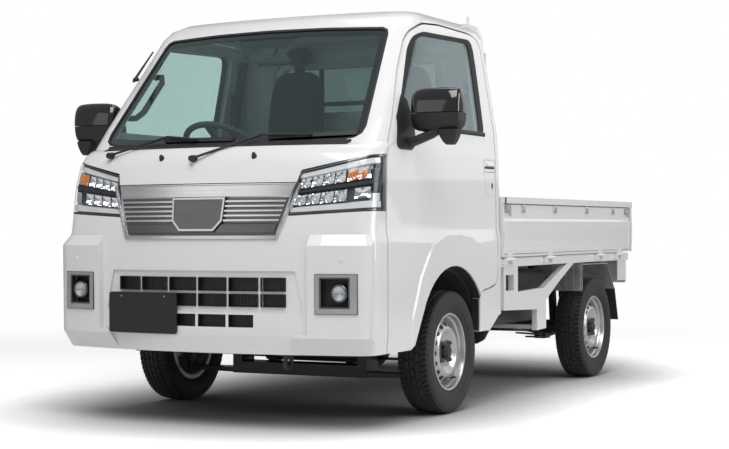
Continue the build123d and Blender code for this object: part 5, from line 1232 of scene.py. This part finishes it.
def build_cab_roof_fittings():
    rings = []
    for t in spread(-1, 1, 10):
        r = math.sqrt(max(0.02, 1 - abs(t) ** 5))
        rings.append([Vector((0.036 + t * 0.092, -1.131 + 0.01 * c, 1.512 + 0.019 * r * s)) for c, s in circle(20)])
    mirror = Shape().loft(rings)
    mirror.tube([(0.036, -1.131, 1.536), (0.036, -1.1, 1.58), (0.036, -1.088, 1.6)], 0.006)
    mirror.done("inner_mirror", CABIN, angle=50)
    visors = Shape()
    at = Matrix.Translation((0, -0.985, 1.644)) @ Matrix.Rotation(math.radians(14), 4, "X")
    for s in (-1, 1):
        visors.box((s * 0.3 - 0.2, -0.04, -0.007), (s * 0.3 + 0.2, 0.085, 0.007), bevel=0.006, at=at)
    visors.done("sun_visors", PALE_TRIM)
    Shape().box((-0.5, -0.9, 1.684), (0.5, -0.36, 1.69), bevel=0.002).done("headliner", PALE_TRIM)


# how far the door's and pillar's inner faces and the belts lie in from the skin
CARD_OUT = -0.0385
BELT_OUT = -0.062
GRIP_RADIUS = 0.0135
REAR_LINING = CAB_REAR - 0.0385


def build_side_trim():
    for name, side in SIDES:
        put = side_put(side)
        card = Shape().panel(put, spread(-1.395, -0.345, 20), spread(0.735, 1.196, 8), CARD_OUT,
                             lambda i, j: -0.044 - 0.007 * math.sin(math.pi * i) * math.sin(math.pi * j))
        card.panel(put, spread(-1.02, -0.6, 10), (0.905, 0.925, 0.965, 0.985), -0.044, lipped(-0.095, -0.048, True))
        card.done(f"door_card_{name}", CABIN, f"door_{name}")
        Shape().panel(put, (-0.352, -0.318, -0.292), spread(0.72, 1.62, 16), CARD_OUT, -0.05).done(
            f"pillar_trim_{name}", CABIN)
        a, b = put(-0.4, 1.46, BELT_OUT), put(-0.36, 0.78, BELT_OUT)
        ring = [Vector((side * x, y, 0)) for x, y in ((0, -0.022), (0, 0.022), (0.002, 0.022), (0.002, -0.022))]
        Shape().loft([[a + (b - a) * t + p for p in ring] for t in spread(0, 1, 6)]).done(f"belt_{name}", CLOTH)
        low, high = put(-1.232, 1.305, BELT_OUT), put(-1.078, 1.5, BELT_OUT)
        inward = Vector((-side * 0.042, 0, 0))
        # columns: share of the way up, share of the way inward
        grip = [low * (1 - t) + high * t + inward * share
                for t, share in ((0, -0.4), (0, 0.5), (0.14, 1), (0.86, 1), (1, 0.5), (1, -0.4))]
        Shape().tube(grip, GRIP_RADIUS, 12).done(f"grip_{name}", CABIN)


def build_rear_trim():
    wall = REAR_LINING
    lining = Shape().box((-0.6, wall - 0.007, 0.7), (0.6, wall, 1.318), bevel=0.002)
    for z in (1.02, 1.13, 1.24):
        lining.box((-0.56, wall - 0.011, z), (0.56, wall - 0.004, z + 0.05), bevel=0.003)
    for s in (-1, 1):
        lining.box((s * 0.528 - 0.082, wall - 0.012, 1.322), (s * 0.528 + 0.082, wall - 0.001, 1.596), bevel=0.008)
        lining.tube([(s * 0.47, wall - 0.01, 1.33), (s * 0.466, wall - 0.012, 1.45),
                     (s * 0.452, wall - 0.012, 1.56), (s * 0.42, wall - 0.012, 1.59)], 0.006, 8)
    lining.done("rear_wall_lining", PALE_TRIM)
    header = Shape().box((-0.58, wall - 0.02, 1.6), (0.58, wall - 0.004, 1.648), bevel=0.004)
    for z in (1.61, 1.622, 1.634):
        header.box((-0.5, wall - 0.024, z), (0.5, wall - 0.018, z + 0.004), bevel=0.001)
    header.done("rear_header_trim", PALE_TRIM)


# ---------------- stage and light
FLOOR_REACH = 30.0
FLOOR_TONE = (0.7, 0.7, 0.7, 1)
# the floor's colour for painted shade under and around the truck, blended in by ambient occlusion for the camera
FLOOR_PAINTED_SHADE = (0.33, 0.33, 0.332, 1)
FLOOR_OPEN = (1.5, 1.5, 1.5, 1)
SHADE_REACH = 0.9
SHADE_DEPTH = 2.9
# the floor turns plain white between these distances from the truck's middle
FADE = (2.6, 6.0)
SKY_TONE = (0.97, 0.985, 1.0, 1)
SKY_STRENGTH = 0.3


def build_floor():
    """A pale floor that keeps the shadow; painted shade from ambient occlusion darkens the tone the camera sees where
    the truck closes it in.
    """
    white, tree, shader = new_material("stage_white")
    tree.nodes.remove(shader)
    seen = add_node(tree, "LightPath").outputs["Is Camera Ray"]
    closed = add_node(tree, "AmbientOcclusion", Distance=SHADE_REACH).outputs["AO"]
    painted_shade = blended(tree, maths(tree, "POWER", closed, SHADE_DEPTH), FLOOR_PAINTED_SHADE, FLOOR_OPEN)
    diffuse = add_node(tree, "BsdfDiffuse", Color=blended(tree, seen, FLOOR_TONE, painted_shade))
    far = add_node(tree, "VectorMath", {0: object_place(tree)}, operation="LENGTH").outputs["Value"]
    fade = add_node(tree, "MapRange", interpolation_type="SMOOTHSTEP", From_Min=FADE[0], From_Max=FADE[1], Value=far)
    glow = add_node(tree, "Emission", Strength=1.0)
    mix = add_node(tree, "MixShader", {0: maths(tree, "MULTIPLY", fade.outputs["Result"], seen),
                                       1: diffuse.outputs[0], 2: glow.outputs[0]})
    set_input(tree, tree.nodes["Material Output"], "Surface", mix.outputs[0])
    mesh = bpy.data.meshes.new("floor")
    mesh.from_pydata([(x, y, 0) for x, y in rectangle(-FLOOR_REACH, FLOOR_REACH, -FLOOR_REACH, FLOOR_REACH)], [],
                     [(0, 1, 2, 3)])
    mesh.materials.append(white)
    place_object("floor", mesh)


def build_world():
    """A soft sky that lights the truck, seen as plain white by the camera and through glass."""
    world = bpy.data.worlds.new("studio")
    bpy.context.scene.world = world
    world.use_nodes = True
    tree = world.node_tree
    sky = tree.nodes["Background"]
    set_input(tree, sky, "Color", SKY_TONE)
    set_input(tree, sky, "Strength", SKY_STRENGTH)
    bright = add_node(tree, "Background", Color=(1, 1, 1, 1), Strength=1.0)
    path = add_node(tree, "LightPath")
    seen = maths(tree, "MAXIMUM", path.outputs["Is Camera Ray"], path.outputs["Is Transmission Ray"])
    mix = add_node(tree, "MixShader", {0: seen, 1: sky.outputs[0], 2: bright.outputs[0]})
    set_input(tree, tree.nodes["World Output"], "Surface", mix.outputs[0])
    bpy.context.scene.view_settings.view_transform = "Standard"


# soft boxes, columns: name, place, what it points at, size, power in watts
LAMPS = (
    ("key", (1.7, -4.6, 6.6), (0.0, -0.9, 0.7), 4.8, 345),
    ("front", (-2.6, -6.4, 2.6), (0.0, -1.2, 0.8), 3.0, 18),
    ("top", (0.3, 0.2, 5.8), (0.0, 0.0, 0.6), 3.0, 40),
    ("side", (6.0, 0.9, 2.6), (0.0, 0.2, 0.8), 3.0, 118),
    ("rear_side", (3.3, 5.8, 3.3), (0.2, -0.4, 1.1), 4.2, 40),
)


def build_lights():
    for name, place, aim, size, power in LAMPS:
        data = bpy.data.lights.new(name, "AREA")
        data.size = size
        data.energy = power
        lamp = place_object(name, data)
        lamp.location = place
        lamp.rotation_euler = (Vector(aim) - Vector(place)).to_track_quat("-Z", "Y").to_euler()


for build in (build_camera, build_floor, build_world, build_lights, dress_nodes, build_windows, build_headlamps,
              build_grille, build_intakes, build_fog_lamps, build_plates, build_nose_details, build_arch_liners,
              build_doors, build_mirrors, build_wheels, build_bed, build_rear, build_seats, build_dash, build_levers,
              build_cab_roof_fittings, build_side_trim, build_rear_trim):
    build()
